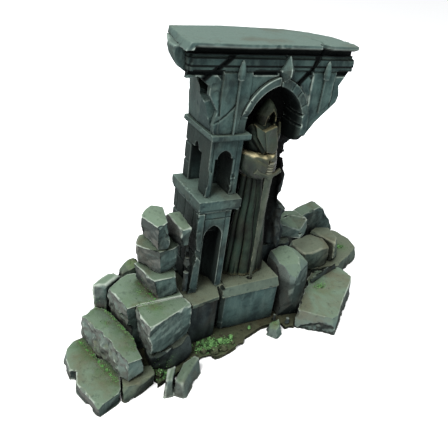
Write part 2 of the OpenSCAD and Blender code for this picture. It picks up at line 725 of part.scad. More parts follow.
module paving_slab_front() color(STONE) stone(
    lift([[42.2, -9], [54.4, -17.2], [77.4, 1.6], [79.8, 5.2], [79.4, 14], [65.2, 14], [51, -2.2]], 0),
    lift([[45, -6.2], [54.8, -15.4], [77.4, 3], [80.5, 6], [79.2, 13.8], [65.4, 13.8], [51.4, -1.8]],
         paving_top)
);

module paving_slab_rear() color(STONE_WARM) stone(
    lift([[65.4, 15.2], [80.6, 14.6], [82.6, 15.4], [100, 23.6], [100.6, 32.4], [98, 41.4], [78, 44],
          [65.4, 40.4]], 0),
    lift([[65.6, 15.4], [80.2, 14.8], [81.6, 15.8], [98, 23.4], [99.8, 31.8], [97.4, 40.4], [78, 43.2],
          [65.6, 40]], paving_top)
);

module boulder_front_right() color(STONE) stone(
    lift([[38.4, -3.4], [43.6, -6], [49.8, -1.4], [57.4, 7.4], [54, 12.6], [38.4, 12.4]], ground_t),
    [[39.6, 1, 20.4], [43.8, -1.8, 20.5], [53, 4.2, 18.8], [51.4, 12, 21], [45.4, 12.9, 23.8],
     [39.2, 12.2, 21.8]],
    [48.2, 5.9, 23.8]
);

module boulder_middle_right() color(STONE_WARM) stone(
    lift([[61, 15.6], [68, 15.4], [75, 16.4], [75.4, 24], [72.2, 28.8], [61, 27]], paving_top),
    [[60, 15.6, 14.6], [63.6, 14.8, 15], [74.2, 17.8, 14.8], [75.4, 23.5, 14.6], [72.2, 28.8, 14.4],
     [60, 26, 14.2]],
    [67, 21, 15.2]
);

module boulder_rear_right() color(STONE) stone(
    lift([[77.8, 16.2], [84, 20.5], [86.4, 31], [78, 32.6], [74.4, 30.8]], paving_top),
    [[78.6, 18.5, 14.8], [82, 22, 15], [83.6, 30, 15], [77.5, 32.2, 15], [73.8, 30.4, 15]],
    [79.4, 26, 15.3]
);

module boulder_back_right() color(STONE_DARK) stone(
    lift([[65.8, 31], [74, 31.6], [83, 35.8], [83, 39.6], [65.8, 39.6]], paving_top),
    [[66, 32.6, 17.4], [73.6, 32.8, 17.4], [81, 36.2, 15], [81, 39.2, 15], [66.4, 39.2, 17.2]]
);

// A length of arch rib, fallen with its hollow side down
module fallen_arch_segment() color(STONE_DARK) panel(33.2, 40.4) polygon([
    [67.6, 17.6], [67.6, 20.4], [71, 22.6], [78.4, 25], [80.8, 24], [86.2, 17.6], [88.9, 12],
    [90, paving_top], [87, paving_top], [86.2, 12.4], [83.2, 15.8], [79.2, 17.4], [74.6, 17.8]
]);

module fallen_beam() color(STONE) stone(
    [[45.6, 18, base_course_top], [54.4, 14.4, base_course_top], [58.8, 17, base_course_top],
     [57, 24.6, base_course_top], [48, 25.6, base_course_top]],
    [[45, 19, 30.4], [54.2, 15, 27.4], [58.7, 17.4, 30.8], [57, 24, 31], [48, 25, 31.6]],
    [52, 20.6, 31.6]
);

chips = [[35.4, -3.6, 1.5, 3], [39.4, -6.6, 1.6, 2.6], [51.4, 27, 1.9, 4.4], [41, 26.6, 1.8, 2]];
module rubble_chips_right() color(STONE_DARK) {
    for (c = chips) chip(c.x, c.y, ground_t, c[2], c[3], 17 * c.x, 0.55);
    stone(
        lift([[58.8, 6.6], [60.4, 6.4], [77.6, 12.4], [76.6, 13.6]], paving_top),
        [[58, 7.4, 8.6], [59, 7.2, 8.6], [76.6, 13, 9], [75.8, 13.4, 9]]
    );
}

place() ground_base();
place() ground_pebbles();
place() moss_clumps();
place() step_slab_1();
place() step_footing_left();
place() step_block_2();
place() step_block_3_rear();
place() step_block_3_middle();
place() step_block_3_front();
place() step_footing_front();
place() fallen_blocks_front();
place() loose_stone_front();
place() boulder_mossy_left();
place() wall_stub_bottom();
place() wall_stub_middle();
place() wall_stub_top();
place() wall_stub_upright();
place() wall_stub_chinking();
place() plinth_wall();
place() plinth_ledge();
place() pedestal_block();
place() pedestal_cap();
place() rear_base_course();
place() tower_lower_stage();
place() tower_lower_cornice();
place() tower_upper_stage();
place() tower_upper_cornice();
place() wall_core_upper();
place() niche_back_wall();
place() spandrel_left();
place() spandrel_right();
place() arch_moulding_left();
place() arch_moulding_right();
place() frieze_left();
place() frieze_right();
place() top_slab();
place() keystone();
place() pendant_finials();
place() pendant_rods();
place() wall_end_wedge();
place() wall_end_body();
place() statue_robe();
place() statue_sleeves();
place() statue_torso();
place() statue_collar();
place() statue_hood();
place() statue_head();
place() statue_hands();
place() sword_blade();
place() sword_guard();
place() paving_slab_front();
place() paving_slab_rear();
place() boulder_front_right();
place() boulder_middle_right();
place() boulder_rear_right();
place() boulder_back_right();
place() fallen_arch_segment();
place() fallen_beam();
place() rubble_chips_right();
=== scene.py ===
import json
import math
from collections import namedtuple
import bpy
import bmesh
import numpy as np
from mathutils import Matrix, Vector
from mathutils.bvhtree import BVHTree

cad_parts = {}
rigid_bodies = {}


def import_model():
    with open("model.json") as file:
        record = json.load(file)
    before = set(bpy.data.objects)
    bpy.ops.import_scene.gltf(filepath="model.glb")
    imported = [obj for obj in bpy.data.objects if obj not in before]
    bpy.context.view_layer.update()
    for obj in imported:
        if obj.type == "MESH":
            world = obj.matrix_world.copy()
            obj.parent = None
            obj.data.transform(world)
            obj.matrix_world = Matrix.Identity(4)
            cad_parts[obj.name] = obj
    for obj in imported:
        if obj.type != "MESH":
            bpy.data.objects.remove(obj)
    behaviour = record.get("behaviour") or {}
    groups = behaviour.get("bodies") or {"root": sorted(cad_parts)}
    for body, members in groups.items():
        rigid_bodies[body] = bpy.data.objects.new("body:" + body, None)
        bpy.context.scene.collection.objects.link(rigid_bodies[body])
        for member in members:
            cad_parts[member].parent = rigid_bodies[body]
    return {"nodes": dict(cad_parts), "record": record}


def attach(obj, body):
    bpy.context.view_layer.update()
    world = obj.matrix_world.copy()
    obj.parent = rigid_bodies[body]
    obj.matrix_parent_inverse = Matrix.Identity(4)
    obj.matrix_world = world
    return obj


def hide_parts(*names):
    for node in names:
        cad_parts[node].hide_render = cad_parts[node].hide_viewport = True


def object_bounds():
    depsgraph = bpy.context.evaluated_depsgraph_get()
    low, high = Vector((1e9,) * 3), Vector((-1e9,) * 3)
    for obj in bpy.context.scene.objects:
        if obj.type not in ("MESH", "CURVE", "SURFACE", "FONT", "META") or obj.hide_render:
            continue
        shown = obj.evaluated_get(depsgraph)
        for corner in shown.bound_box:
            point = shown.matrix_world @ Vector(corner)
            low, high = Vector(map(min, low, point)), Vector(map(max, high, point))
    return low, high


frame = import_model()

CAD_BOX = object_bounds()
COARSER = 1.0
CENTRE = np.array([29.8, 9.7, 0.0])  # design coordinates in mm -> row frame
MM = 0.001
BODY = "root"
BOX_LO = np.array(CAD_BOX[0]) * 1000 + CENTRE + 0.02  # the CAD box in design mm, a hair inside
BOX_HI = np.array(CAD_BOX[1]) * 1000 + CENTRE - 0.02
SLOT = {s["node"]: s["material_slot"] for s in frame["record"]["subparts"]}
STAIR_NODES = {n for n in frame["nodes"] if n.startswith(("step", "wall_stub", "paving", "boulder", "fallen", "loose"))}

# ------------------------------------------------------------------ noise


def unit(v):
    return np.clip(v, 0, 1)


def _hash(ix, iy, iz, seed):
    h = (ix * 73856093) ^ (iy * 19349663) ^ (iz * 83492791) ^ (seed * 2654435761)
    h = (h ^ (h >> 13)) * 1274126177 & 0xFFFFFFFF
    h = (h ^ (h >> 16)) * 2246822519 & 0xFFFFFFFF
    return ((h ^ (h >> 15)) & 0xFFFFFF) / float(0xFFFFFF) * 2 - 1


_TILT = np.array(Matrix.Rotation(0.7, 3, "X") @ Matrix.Rotation(0.5, 3, "Y") @ Matrix.Rotation(0.4, 3, "Z"))


def _cell(p, scale, seed):
    q = (p @ _TILT.T) / scale + 37.0 * seed
    i = np.floor(q).astype(np.int64)
    return q - i, i


def noise(p, scale, seed=0):
    """Smooth value noise, -1 to 1."""
    f, i = _cell(p, scale, seed)
    f = f * f * (3 - 2 * f)
    out = np.zeros(len(p))
    for dx in (0, 1):
        wx = f[:, 0] if dx else 1 - f[:, 0]
        for dy in (0, 1):
            wy = f[:, 1] if dy else 1 - f[:, 1]
            for dz in (0, 1):
                wz = f[:, 2] if dz else 1 - f[:, 2]
                out += wx * wy * wz * _hash(i[:, 0] + dx, i[:, 1] + dy, i[:, 2] + dz, seed)
    return out


def fbm(p, scale, seed=0, octaves=3):
    out, amp, tot = 0, 1.0, 0
    for k in range(octaves):
        out = out + amp * noise(p, scale / 2.1**k, seed + 11 * k)
        tot += amp
        amp *= 0.5
    return out / tot


def facets(p, scale, seed=0):
    """Piecewise flat noise, -1 to 1: planes that meet in creases, like split stone."""
    f, i = _cell(p, scale, seed)
    order = np.argsort(-f, axis=1)
    n = np.arange(len(p))
    a, b, c = f[n, order[:, 0]], f[n, order[:, 1]], f[n, order[:, 2]]
    corner = i.copy()
    out = (1 - a) * _hash(*corner.T, seed)
    for k, weight in enumerate((a - b, b - c, c)):
        corner[n, order[:, k]] += 1
        out += weight * _hash(*corner.T, seed)
    return out


# ------------------------------------------------------------------ meshes


def add_object(name, data):
    ob = bpy.data.objects.new(name, data)
    bpy.context.scene.collection.objects.link(ob)
    return ob


def baked(bm, name):
    me = bpy.data.meshes.new(name)
    bm.to_mesh(me)
    bm.free()
    return me


def from_lists(name, verts, faces):
    me = bpy.data.meshes.new(name)
    me.from_pydata(verts, [], faces)
    me.update()
    return me


def normed(v):
    v = np.array(v, float)
    return v / np.linalg.norm(v)


def legs(pts):
    """The straight pieces of a polyline."""
    pts = [np.array(p, float) for p in pts]
    return list(zip(pts, pts[1:]))


def within(co, lo, hi):
    """The vertices in a box."""
    return np.nonzero(((co > lo) & (co < hi)).all(1))[0]


def get_co(me):
    co = np.empty(len(me.vertices) * 3, np.float32)
    me.vertices.foreach_get("co", co)
    return co.reshape(-1, 3).astype(float)


def get_no(me):
    no = np.empty(len(me.vertices) * 3, np.float32)
    me.vertex_normals.foreach_get("vector", no)
    return no.reshape(-1, 3).astype(float)


def set_co(me, co):
    me.vertices.foreach_set("co", np.asarray(co, np.float32).ravel())
    me.update()


def edge_table(me):
    ed = np.empty(len(me.edges) * 2, np.int32)
    me.edges.foreach_get("vertices", ed)
    return ed.reshape(-1, 2)


def neighbour_mean(val, ed):
    """The mean over each vertex's neighbours, of one column of values or of several."""
    if val.ndim > 1:
        return np.stack([neighbour_mean(v, ed) for v in val.T], 1)
    n = len(val)
    total = np.bincount(ed[:, 0], val[ed[:, 1]], n) + np.bincount(ed[:, 1], val[ed[:, 0]], n)
    return total / np.maximum(np.bincount(ed.ravel(), minlength=n), 1)


def voxel(me, size):
    """A fresh voxel remesh of a closed mesh in mm."""
    ob = add_object("tmp", me)
    m = ob.modifiers.new("r", "REMESH")
    m.mode = "VOXEL"
    m.voxel_size = size
    dg = bpy.context.evaluated_depsgraph_get()
    out = bpy.data.meshes.new_from_object(ob.evaluated_get(dg))
    bpy.data.objects.remove(ob)
    return out


def cad_mesh(node, hull=False):
    """A CAD node as one clean mesh in design mm, and its sharp convex edges: two ends, two face normals."""
    bm = bmesh.new()
    me = frame["nodes"][node].data.copy()
    me.transform(Matrix.Scale(1000, 4))
    me.transform(Matrix.Translation(Vector(CENTRE)))
    bm.from_mesh(me)
    bpy.data.meshes.remove(me)
    bmesh.ops.remove_doubles(bm, verts=bm.verts, dist=0.004)
    if hull:
        shell = bmesh.ops.convex_hull(bm, input=bm.verts)
        bmesh.ops.delete(bm, geom=[g for g in shell["geom_interior"] + shell["geom_unused"]
                                   if isinstance(g, bmesh.types.BMVert)], context="VERTS")
        shell = {f for f in shell["geom"] if isinstance(f, bmesh.types.BMFace)}
        bmesh.ops.delete(bm, geom=[f for f in bm.faces if f not in shell], context="FACES")
    bmesh.ops.dissolve_limit(bm, angle_limit=0.02, verts=bm.verts, edges=bm.edges)
    edges = []
    for e in bm.edges:
        if len(e.link_faces) == 2 and e.is_convex and abs(e.calc_face_angle_signed(0)) > 0.35:
            edges.append([np.array(v) for v in (*(v.co for v in e.verts), *(f.normal for f in e.link_faces))])
    bmesh.ops.triangulate(bm, faces=bm.faces)
    return baked(bm, "cad"), edges


def near_segment(co, p, q):
    """How far along a segment each vertex lies, and the offset from it."""
    d = q - p
    l2 = max(float(d @ d), 1e-9)
    t = unit((co - p) @ d / l2)
    return t * math.sqrt(l2), co - p - t[:, None] * d


def wear_edges(co, edges, rng, bevel, chip, every):
    """Dulls sharp edges by a wandering bevel and knocks scoops out of them."""
    reach = 2.2
    for p, q, n1, n2 in edges:
        length = np.linalg.norm(q - p)
        near = within(co, np.minimum(p, q) - reach, np.maximum(p, q) + reach)
        if length < 0.5 or not len(near):
            continue
        n = normed(n1 + n2)
        flat = math.sqrt(max(0.0, (1 - float(n1 @ n2)) / 2)) / 0.707  # 1 at a right angle, less at a shallow one
        s, r = near_segment(co[near], p, q)
        depth = bevel * (0.55 + 0.45 * noise(co[near], 2.6, 5)) + 0.25 * bevel * noise(co[near], 0.9, 6)
        cut = depth * flat * flat
        for _ in range(rng.poisson(length / every)):
            at = rng.uniform(0, length)
            size = chip * flat * flat * rng.uniform(0.3, 1.0) ** 1.5
            half = (size + 0.1) * rng.uniform(1.6, 3.6)
            skew = rng.uniform(-0.35, 0.35)
            x = (s - at) / half
            cut = np.maximum(cut, np.where(np.abs(x) < 1, size * (1 - x * x) * (1 + skew * x), 0))
        h = r @ n + cut
        ok = (h > 0) & ((r * r).sum(1) < (1.5 * cut / max(flat, 0.2) + 0.3) ** 2)
        co[near[ok]] -= n * h[ok, None]


def distance_to_lines(co, lines):
    best = np.full(len(co), 1e9)
    for pts in lines:
        for p, q in legs(pts):
            _, r = near_segment(co, p, q)
            best = np.minimum(best, np.sqrt((r * r).sum(1)))
    return best


def distance_on_face(co, lines):
    """The same, measured on the wall face only."""
    return distance_to_lines(co * [1, 0, 1], [[(x, 0, z) for x, _, z in line] for line in lines])


def groove(co, no, pts, width, depth, seed=1):
    """A crack along a polyline, cut against the surface's normals."""
    near = within(co, np.min(pts, 0) - 2 * width, np.max(pts, 0) + 2 * width)
    c = co[near] + 0.35 * width * np.stack([noise(co[near], 1.3, seed + k) for k in range(3)], 1)
    co[near] -= no[near] * (depth * unit(1 - distance_to_lines(c, [pts]) / width) ** 0.8)[:, None]


def scoop(co, centre, radius, depth, direction, seed=1):
    """Knocks a faceted bite out of the mesh round a point, along a direction."""
    x = (((co - centre) / radius) ** 2).sum(1)
    near = x < 1
    wobble = 0.25 * facets(co[near], radius * 0.7, seed)
    co[near] -= normed(direction) * (depth * unit(1 - x[near] + wobble))[:, None]


def interp(h, *stops):
    return np.interp(h, [s[0] for s in stops], [s[1] for s in stops])


def curvature(co, no, ed, rounds=2):
    """Above 0 on ridges, below 0 in valleys."""
    lap = ((co - neighbour_mean(co, ed)) * no).sum(1)
    cur = lap / np.linalg.norm(co[ed[:, 0]] - co[ed[:, 1]], axis=1).mean()
    for _ in range(rounds):
        cur = 0.5 * cur + 0.5 * neighbour_mean(cur, ed)
    return cur


def smooth(me, times):
    co, ed = get_co(me), edge_table(me)
    for _ in range(times):
        co = 0.45 * co + 0.55 * neighbour_mean(co, ed)
    set_co(me, co)


def chisel(me, seed, count, depth):
    """Strikes flat faces off the corners and edges of a stone: each plane takes its furthest point down."""
    rng = np.random.default_rng(seed)
    co, no, ed = get_co(me), get_no(me), edge_table(me)
    ridge = np.nonzero((curvature(co, no, ed, 4) > 0.06) & (co[:, 2] > 0.6))[0]
    if not len(ridge):
        return
    for k in rng.choice(ridge, count):
        n = no[k] + 0.3 * rng.normal(size=3)
        n[2] = max(n[2], -0.15)
        n /= np.linalg.norm(n)
        h = co @ n
        h = h - (h.max() - depth * rng.uniform(0.2, 1.0) ** 1.4)
        m = h > 0
        co[m] -= n * h[m, None]
    set_co(me, co)


# ------------------------------------------------------------------ masks that the paint reads

STEP_1, STEP_2, STEP_3 = 4.0, 12.6, 21.3  # heights of the treads


def level(z, *points):
    return [(x, y, z) for x, y in points]


MOSS_LINES = [
    level(STEP_2, (-28.6, 12.2), (-25.2, 9.4), (-22.6, -1.6), (-20.6, -8.0)),  # foot of the third step
    level(STEP_3, (-20.0, -2.1), (-12.5, -2.1)),  # joint between the two big stones of the third step
    level(STEP_3, (-14.4, 9.0), (-12.4, -1.1)),  # foot of the wall stub
    level(STEP_1, (-35.0, 7.0), (-28.6, -15.0)),  # foot of the second step
]
MOSS_SPOTS = [  # centre, radius
    ((-22.5, -10.5, 12.6), 2.6), ((-26.5, 2.5, 12.6), 2.2), ((-14.5, -4.5, 21.3), 3.4),
    ((-15.5, 3.5, 21.3), 2.6), ((-30.5, -8.5, 4.0), 2.4), ((7.0, -6.8, 1.8), 4.0), ((12.0, -7.0, 1.8), 3.4),
    ((3.5, -8.5, 1.8), 3.0), ((62.0, 4.0, 6.0), 3.2), ((90.0, 27.0, 6.0), 2.6), ((33.5, -7.5, 3.6), 2.0),
    ((-12.5, 20.0, 22.0), 4.0), ((-11.0, -13.4, 3.0), 2.6), ((-15.0, -13.0, 2.5), 3.0),
]


def moss_mask(co):
    """Moss paint in the joints, and the damp green and brown stain round it."""
    d = distance_to_lines(co, MOSS_LINES)
    m = unit(1 - d / 0.9) ** 1.5
    damp = np.exp(-((d / 4.2) ** 2))
    for c, r in MOSS_SPOTS:
        q = np.linalg.norm(co - c, axis=1) / r
        m = np.maximum(m, 0.4 * unit(1 - q))
        damp = np.maximum(damp, np.exp(-((q / 1.5) ** 2)))
    return m, damp


def finish_piece(node, kind, me, slot, mat=None):
    """Writes the masks on a mesh in design mm and hands it over as the piece in a CAD node's place."""
    co, no, ed = get_co(me), get_no(me), edge_table(me)
    cur, broad = curvature(co, no, ed), curvature(co, no, ed, 9)
    if node.startswith(("statue", "sword")):
        cur = np.where(cur > 0, np.clip(cur - 0.05, 0, None), cur)  # sleeves and hood are round all over
    if node == "arch_moulding_left":
        # painted highlight on the front face of the moulding, stronger higher up
        cur = cur + 0.05 * (no[:, 1] < -0.6) * np.clip((co[:, 2] - 78) / 8, 0.3, 1)
    if node.startswith(("frieze", "spandrel")):
        # no painted highlight on the lips of the cracks
        near = unit((distance_on_face(co, [CRACK_LEFT, CRACK_RIGHT, CRACK_LOW]) - 0.9) / 0.8)
        near = near * np.where((co[:, 0] < -4.4) & (co[:, 2] > 92), 0.25, 1)
        cur, broad = np.where(cur > 0, cur * near, cur), np.where(broad > 0, broad * near, broad)
    shade = shade_mask(node, co, no)
    if node == "statue_robe":
        # painted shade keeps the valleys of the pleats nearly black, and painted highlights pick out their crests
        fold = broad / np.percentile(np.abs(broad), 70)
        shade = np.maximum(shade, 0.9 * unit((-fold - 0.25) / 0.8))
        cur = np.maximum(cur, 0) + 0.08 * unit((fold - 0.6) / 1.4) * (co[:, 2] > 21)
        broad = broad * 0
    if node == "statue_sleeves":
        # painted highlight on the upward faces of the sleeves, broken up by noise
        cur = cur + 0.16 * unit((no[:, 2] - 0.25) / 0.4) * unit(noise(co, 1.3, 4) + 0.35)
    if node == "statue_hands":
        # painted highlight on the faces of the hands turned to the front
        cur = cur + 0.1 * unit(-no[:, 1])
    moss, damp = moss_mask(co)
    masks = {"broad": broad, "curve": cur * stone_of(node).rim, "moss": moss, "damp": damp, "dark": shade}
    for name, val in masks.items():
        me.attributes.new(name, "FLOAT", "POINT").data.foreach_set("value", np.asarray(val, np.float32))
    set_co(me, (co - CENTRE) * MM)
    me.shade_smooth()
    ob = add_object(node + kind, me)
    me.materials.clear()
    me.materials.append(mat or MATS[slot])
    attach(ob, BODY)
    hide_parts(node)


# ------------------------------------------------------------------ cuts and hollows of single stones


def inside(x, z, poly):
    """Which points lie in a polygon."""
    hit = np.zeros(len(x), bool)
    for (x0, z0), (x1, z1) in zip(poly, poly[1:] + poly[:1]):
        cross = (z0 > z) != (z1 > z)
        hit ^= cross & (x < (x1 - x0) * (z - z0) / (z1 - z0 + 1e-12) + x0)
    return hit


def recess(co, no, poly, depth, behind=5.0):
    """Sinks the part of a front face that lies in an outline in X and Z."""
    k = inside(co[:, 0], co[:, 2], poly) & (no[:, 1] < -0.5) & (co[:, 1] < behind)
    co[k, 1] += depth


def bites(co, no, seed, count, box, radius, depth, direction=None):
    """Conchoidal breaks at seeded places on the surface inside a box."""
    rng = np.random.default_rng(seed)
    near = within(co, *box)
    if not len(near):
        return
    for k in rng.choice(near, count):
        q = (co - co[k]) / (radius * rng.uniform(0.5, 1.0))
        x = (q * q).sum(1)
        n = no[k] if direction is None else np.array(direction, float)
        m = x < 1
        # a tilted flat cut: shallow on one side, deeper on the other, with a crisp lip
        t = rng.normal(size=3)
        t = normed(t - n * (t @ n))
        cut = depth * rng.uniform(0.5, 1.0) * unit(1 - x[m]) ** 0.5 * (0.6 + 0.4 * (q[m] @ t))
        co[m] -= n * cut[:, None]


CRACK_LEFT = [(6.6, 1.8, 98.3), (3.1, 2.0, 95.3), (0.6, 2.8, 93.4), (-1.6, 3.0, 91.4)]
CRACK_RIGHT = [(36.6, 2.0, 99.8), (34.9, 2.0, 97.6), (33.8, 2.4, 94.4), (32.6, 2.8, 92.4), (30.4, 3.0, 90.0),
               (28.6, 3.0, 88.4)]
CRACK_LOW = [(9.2, 2.6, 83.6), (6.6, 2.6, 80.9), (3.2, 2.9, 78.3)]
ARCH_X, SPRING_Z = 23.65, 77  # middle of the arch and height of its springing


def face_cracks(co, no):
    groove(co, no, CRACK_LEFT, 0.5, 1.1, 3)
    groove(co, no, CRACK_RIGHT, 0.55, 1.3, 4)


def on_spandrel_left(co, no, seed):
    recess(co, no, [(-7, 92.4), (4.1, 92.4), (4.1, 93.9), (-7, 93.9)], 1.0)
    recess(co, no, [(4.1, 92.4), (4.1, 90.9), (2.6, 92.4)], 0.6)
    recess(co, no, [(13.7, 92.3), (22.4, 92.3), (22.4, 93.9), (13.7, 93.9)], 1.0)
    face_cracks(co, no)
    groove(co, no, CRACK_LOW, 0.36, 0.6, 5)
    groove(co, no, [(4.0, 2.8, 92.3), (3.9, 2.9, 86.0), (4.3, 2.9, 80.6)], 0.35, 0.4, 6)
    bites(co, no, seed, 4, ((-4, 0, 76), (3.8, 6, 92)), 1.8, 0.4)


def on_spandrel_right(co, no, seed):
    recess(co, no, [(27.0, 92.3), (34.6, 92.3), (34.6, 93.9), (27.0, 93.9)], 1.0)
    recess(co, no, [(34.6, 92.4), (34.6, 91.0), (33.1, 92.4)], 0.6)
    recess(co, no, [(43.9, 91.9), (49, 91.9), (49, 93.9), (43.9, 93.9)], 1.0)
    groove(co, no, [(34.7, 2.8, 92.3), (34.7, 2.8, 73.6)], 0.42, 0.8, 7)
    groove(co, no, [(43.9, 2.8, 92.3), (43.9, 2.8, 82.0)], 0.42, 0.8, 8)
    groove(co, no, CRACK_RIGHT, 0.55, 1.3, 4)
    groove(co, no, [(30.2, 3.0, 90.0), (31.6, 3.0, 87.2), (33.4, 3.0, 85.8)], 0.5, 0.8, 9)
    bites(co, no, seed, 12, ((36, 5.5, 72), (50, 14, 92)), 2.2, 0.6)


def on_frieze(co, no, seed):
    face_cracks(co, no)
    if co[:, 0].min() < 0:
        # the frieze breaks off raggedly at its left end
        edge = -6.2 + 0.9 * noise(co, 1.6, 3) + 0.25 * (co[:, 2] - 96)
        co[:, 1] += np.where((co[:, 0] < edge) & (co[:, 1] < 4.2), 0.9, 0)
    else:
        bites(co, no, seed, 12, ((46.5, 0, 93), (50, 14, 98)), 1.6, 0.7)


def on_slab(co, no, seed):
    x, y, z = co.T
    low = unit((102.2 - z) / 2.8)
    left = unit((-4.5 - x) / 3.0)
    co[:, 0] -= 3.9 * left * low * unit(1 - np.abs(y - 9) / 16) ** 0.5
    co[:, 2] -= 0.5 * left * low
    under = unit((100.55 - z) / 0.95)
    co[:, 1] += np.where((y < 3.2) & (x > -6.5), 2.2 * under, 0)
    bites(co, no, seed, 8, ((-8, -1, 100.3), (50, 1.2, 101.7)), 1.5, 0.35, (0, -1, 0))
    bites(co, no, seed + 1, 5, ((46, 0, 99.5), (51, 20, 101.7)), 1.6, 0.5)
    scoop(co, (36.1, 1.2, 101.3), 1.7, 1.3, (0.1, -1, 0.5), seed)
    groove(co, no, [(36.4, 2.6, 101.6), (38.0, 6.0, 101.6), (36.9, 9.5, 101.6)], 0.35, 0.5, 12)


def on_wedge(co, no, seed):
    middle = unit(1 - np.abs(co[:, 1] - 9) / 16) ** 0.5
    co[:, 0] -= 2.7 * middle * unit((-3.2 - co[:, 0]) / 2.5) * unit((co[:, 2] - 90.5) / 4)
    side = unit((0.5 - co[:, 0]) / 4)
    co[:, 0] -= 1.7 * middle * side * unit(1 - ((co[:, 2] - 96.6) / 4.2) ** 2)


def on_wall_body(co, no, seed):
    scoop(co, (0.6, 4.6, 87.4), 3.0, 1.6, (0.1, -1, 0.1), seed)
    bites(co, no, seed, 3, ((-2, 4, 75.5), (6, 23, 91)), 3.4, 0.5)


def on_arch_left(co, no, seed):
    """The moulding is a crescent: proud at the crown, and it dies into the jamb at the springing."""
    x, z = co[:, 0], co[:, 2]
    fade = unit((82.4 - z) / 3.4)
    fade = fade * fade * (3 - 2 * fade)
    front = co[:, 1] < 3.6
    co[:, 1] += np.where(front, fade * np.clip(3.0 - co[:, 1], 0, 2), 0)
    # chamfered face: inner arris set back
    inner = unit(1 - (np.hypot(x - 28.5, z - SPRING_Z) - 12.4) / 4.2)
    co[:, 1] += np.where(front & (z > 80), 0.9 * inner, 0)
    for a in (0.35, 0.62):
        groove(co, no, [(ARCH_X - 12.6 * math.cos(a), 1.8, SPRING_Z + 13.5 * math.sin(a) ** 0.9),
                        (ARCH_X - 9.2 * math.cos(a), 1.8, SPRING_Z + 10.6 * math.sin(a) ** 0.9)], 0.3, 0.3, 14)


def on_arch_right(co, no, seed):
    x, y, z = co.T
    foot = 73.6 - 0.75 * (y - 2) + 0.9 * facets(co, 2.2, seed)
    co[:, 2] = np.maximum(z, np.where(z < 76, foot, z))
    # rough soffit of voussoirs
    for zz in (76.6, 80.2):
        x = ARCH_X + 9.9 * math.sqrt(1 - min(1.0, ((zz - SPRING_Z) / 13.6) ** 2))
        groove(co, no, [(x, 1.6, zz), (x, 7.0, zz - 0.5), (x, 13.0, zz + 0.3)], 0.5, 0.8, 15)
    for a in (0.45, 0.78, 1.1):
        groove(co, no, [(ARCH_X + 9.0 * math.cos(a), 1.8, SPRING_Z + 12.6 * math.sin(a)),
                        (ARCH_X + 14.6 * math.cos(a), 1.8, SPRING_Z + 18.4 * math.sin(a) ** 0.95)], 0.36, 0.45, 15)
    bites(co, no, seed, 14, ((24, 4.5, 68), (36, 13, 88)), 2.4, 0.5)


def joints(co, no, at, courses, width, depth, seed, lean=0.0):
    """Upright joints of a coursed face: at(u, z) is a point on it, each course is its foot and its joints."""
    for (z0, *stops), (z1, *_) in zip(courses, courses[1:]):
        for u in stops:
            groove(co, no, [at(u, z0), at(u + lean, z1)], width, depth, seed)


def on_niche(co, no, seed):
    x, _, z = co.T
    swell = interp(z, (60, 0), (63, 0.6), (67, 2.0), (69.5, 3.6), (75, 4.2))
    co[:, 0] += swell * unit((x - 33.5) / 4)
    bites(co, no, seed, 60, ((33, 9, 24), (46, 18.5, 76)), 2.4, 0.7)
    bites(co, no, seed + 2, 14, ((35, 9, 62), (42, 14, 75)), 2.6, 1.0)
    back = 18
    for z0, x0 in ((31.5, 0.3), (38.6, -0.2), (46.0, 0.4), (53.4, 0), (60.8, -0.3), (68.2, 0.2)):
        groove(co, no, [(16, back, z0), (28 + x0, back, z0 + 0.3), (44, back, z0 - 0.2)], 0.5, 0.7, 16)
    joints(co, no, lambda x, z: (x, back, z), ((24, 22, 33), (31.5, 27, 38), (38.6, 21, 32), (46, 27, 36.5),
                                               (53.4, 21.5, 32), (60.8, 26.5), (68.2,)), 0.5, 0.7, 17, 0.3)


def on_core(co, no, seed):
    back = 22
    for z0 in (82.0, 88.6, 94.6):
        groove(co, no, [(8, back, z0), (26, back, z0 + 0.3), (47.5, back, z0 - 0.3)], 0.5, 0.7, 18)
    joints(co, no, lambda x, z: (x, back, z), ((75, 16, 27, 37), (82, 12, 22, 33, 42), (88.6, 17, 28, 38),
                                               (94.6, 23, 34), (99.6,)), 0.5, 0.7, 19, 0.2)
    bites(co, no, seed, 26, ((37, 12, 74), (48, 22.2, 99)), 2.6, 0.8)
    bites(co, no, seed + 1, 12, ((8, 20, 75), (48, 22.2, 99)), 2.4, 0.5)


def on_base_course(co, no, seed):
    back = 22
    groove(co, no, [(13, back, 13.0), (52, back, 13.2)], 0.5, 0.8, 20)
    groove(co, no, [(51, 12, 13.0), (51.6, back, 13.2)], 0.6, 0.8, 20)
    joints(co, no, lambda x, z: (x, back, z), ((2, 22, 34, 45), (13, 17, 29, 40), (24.3,)), 0.5, 0.8, 21)
    bites(co, no, seed, 30, ((13, 12, 3), (53, 23, 25)), 2.6, 0.6)


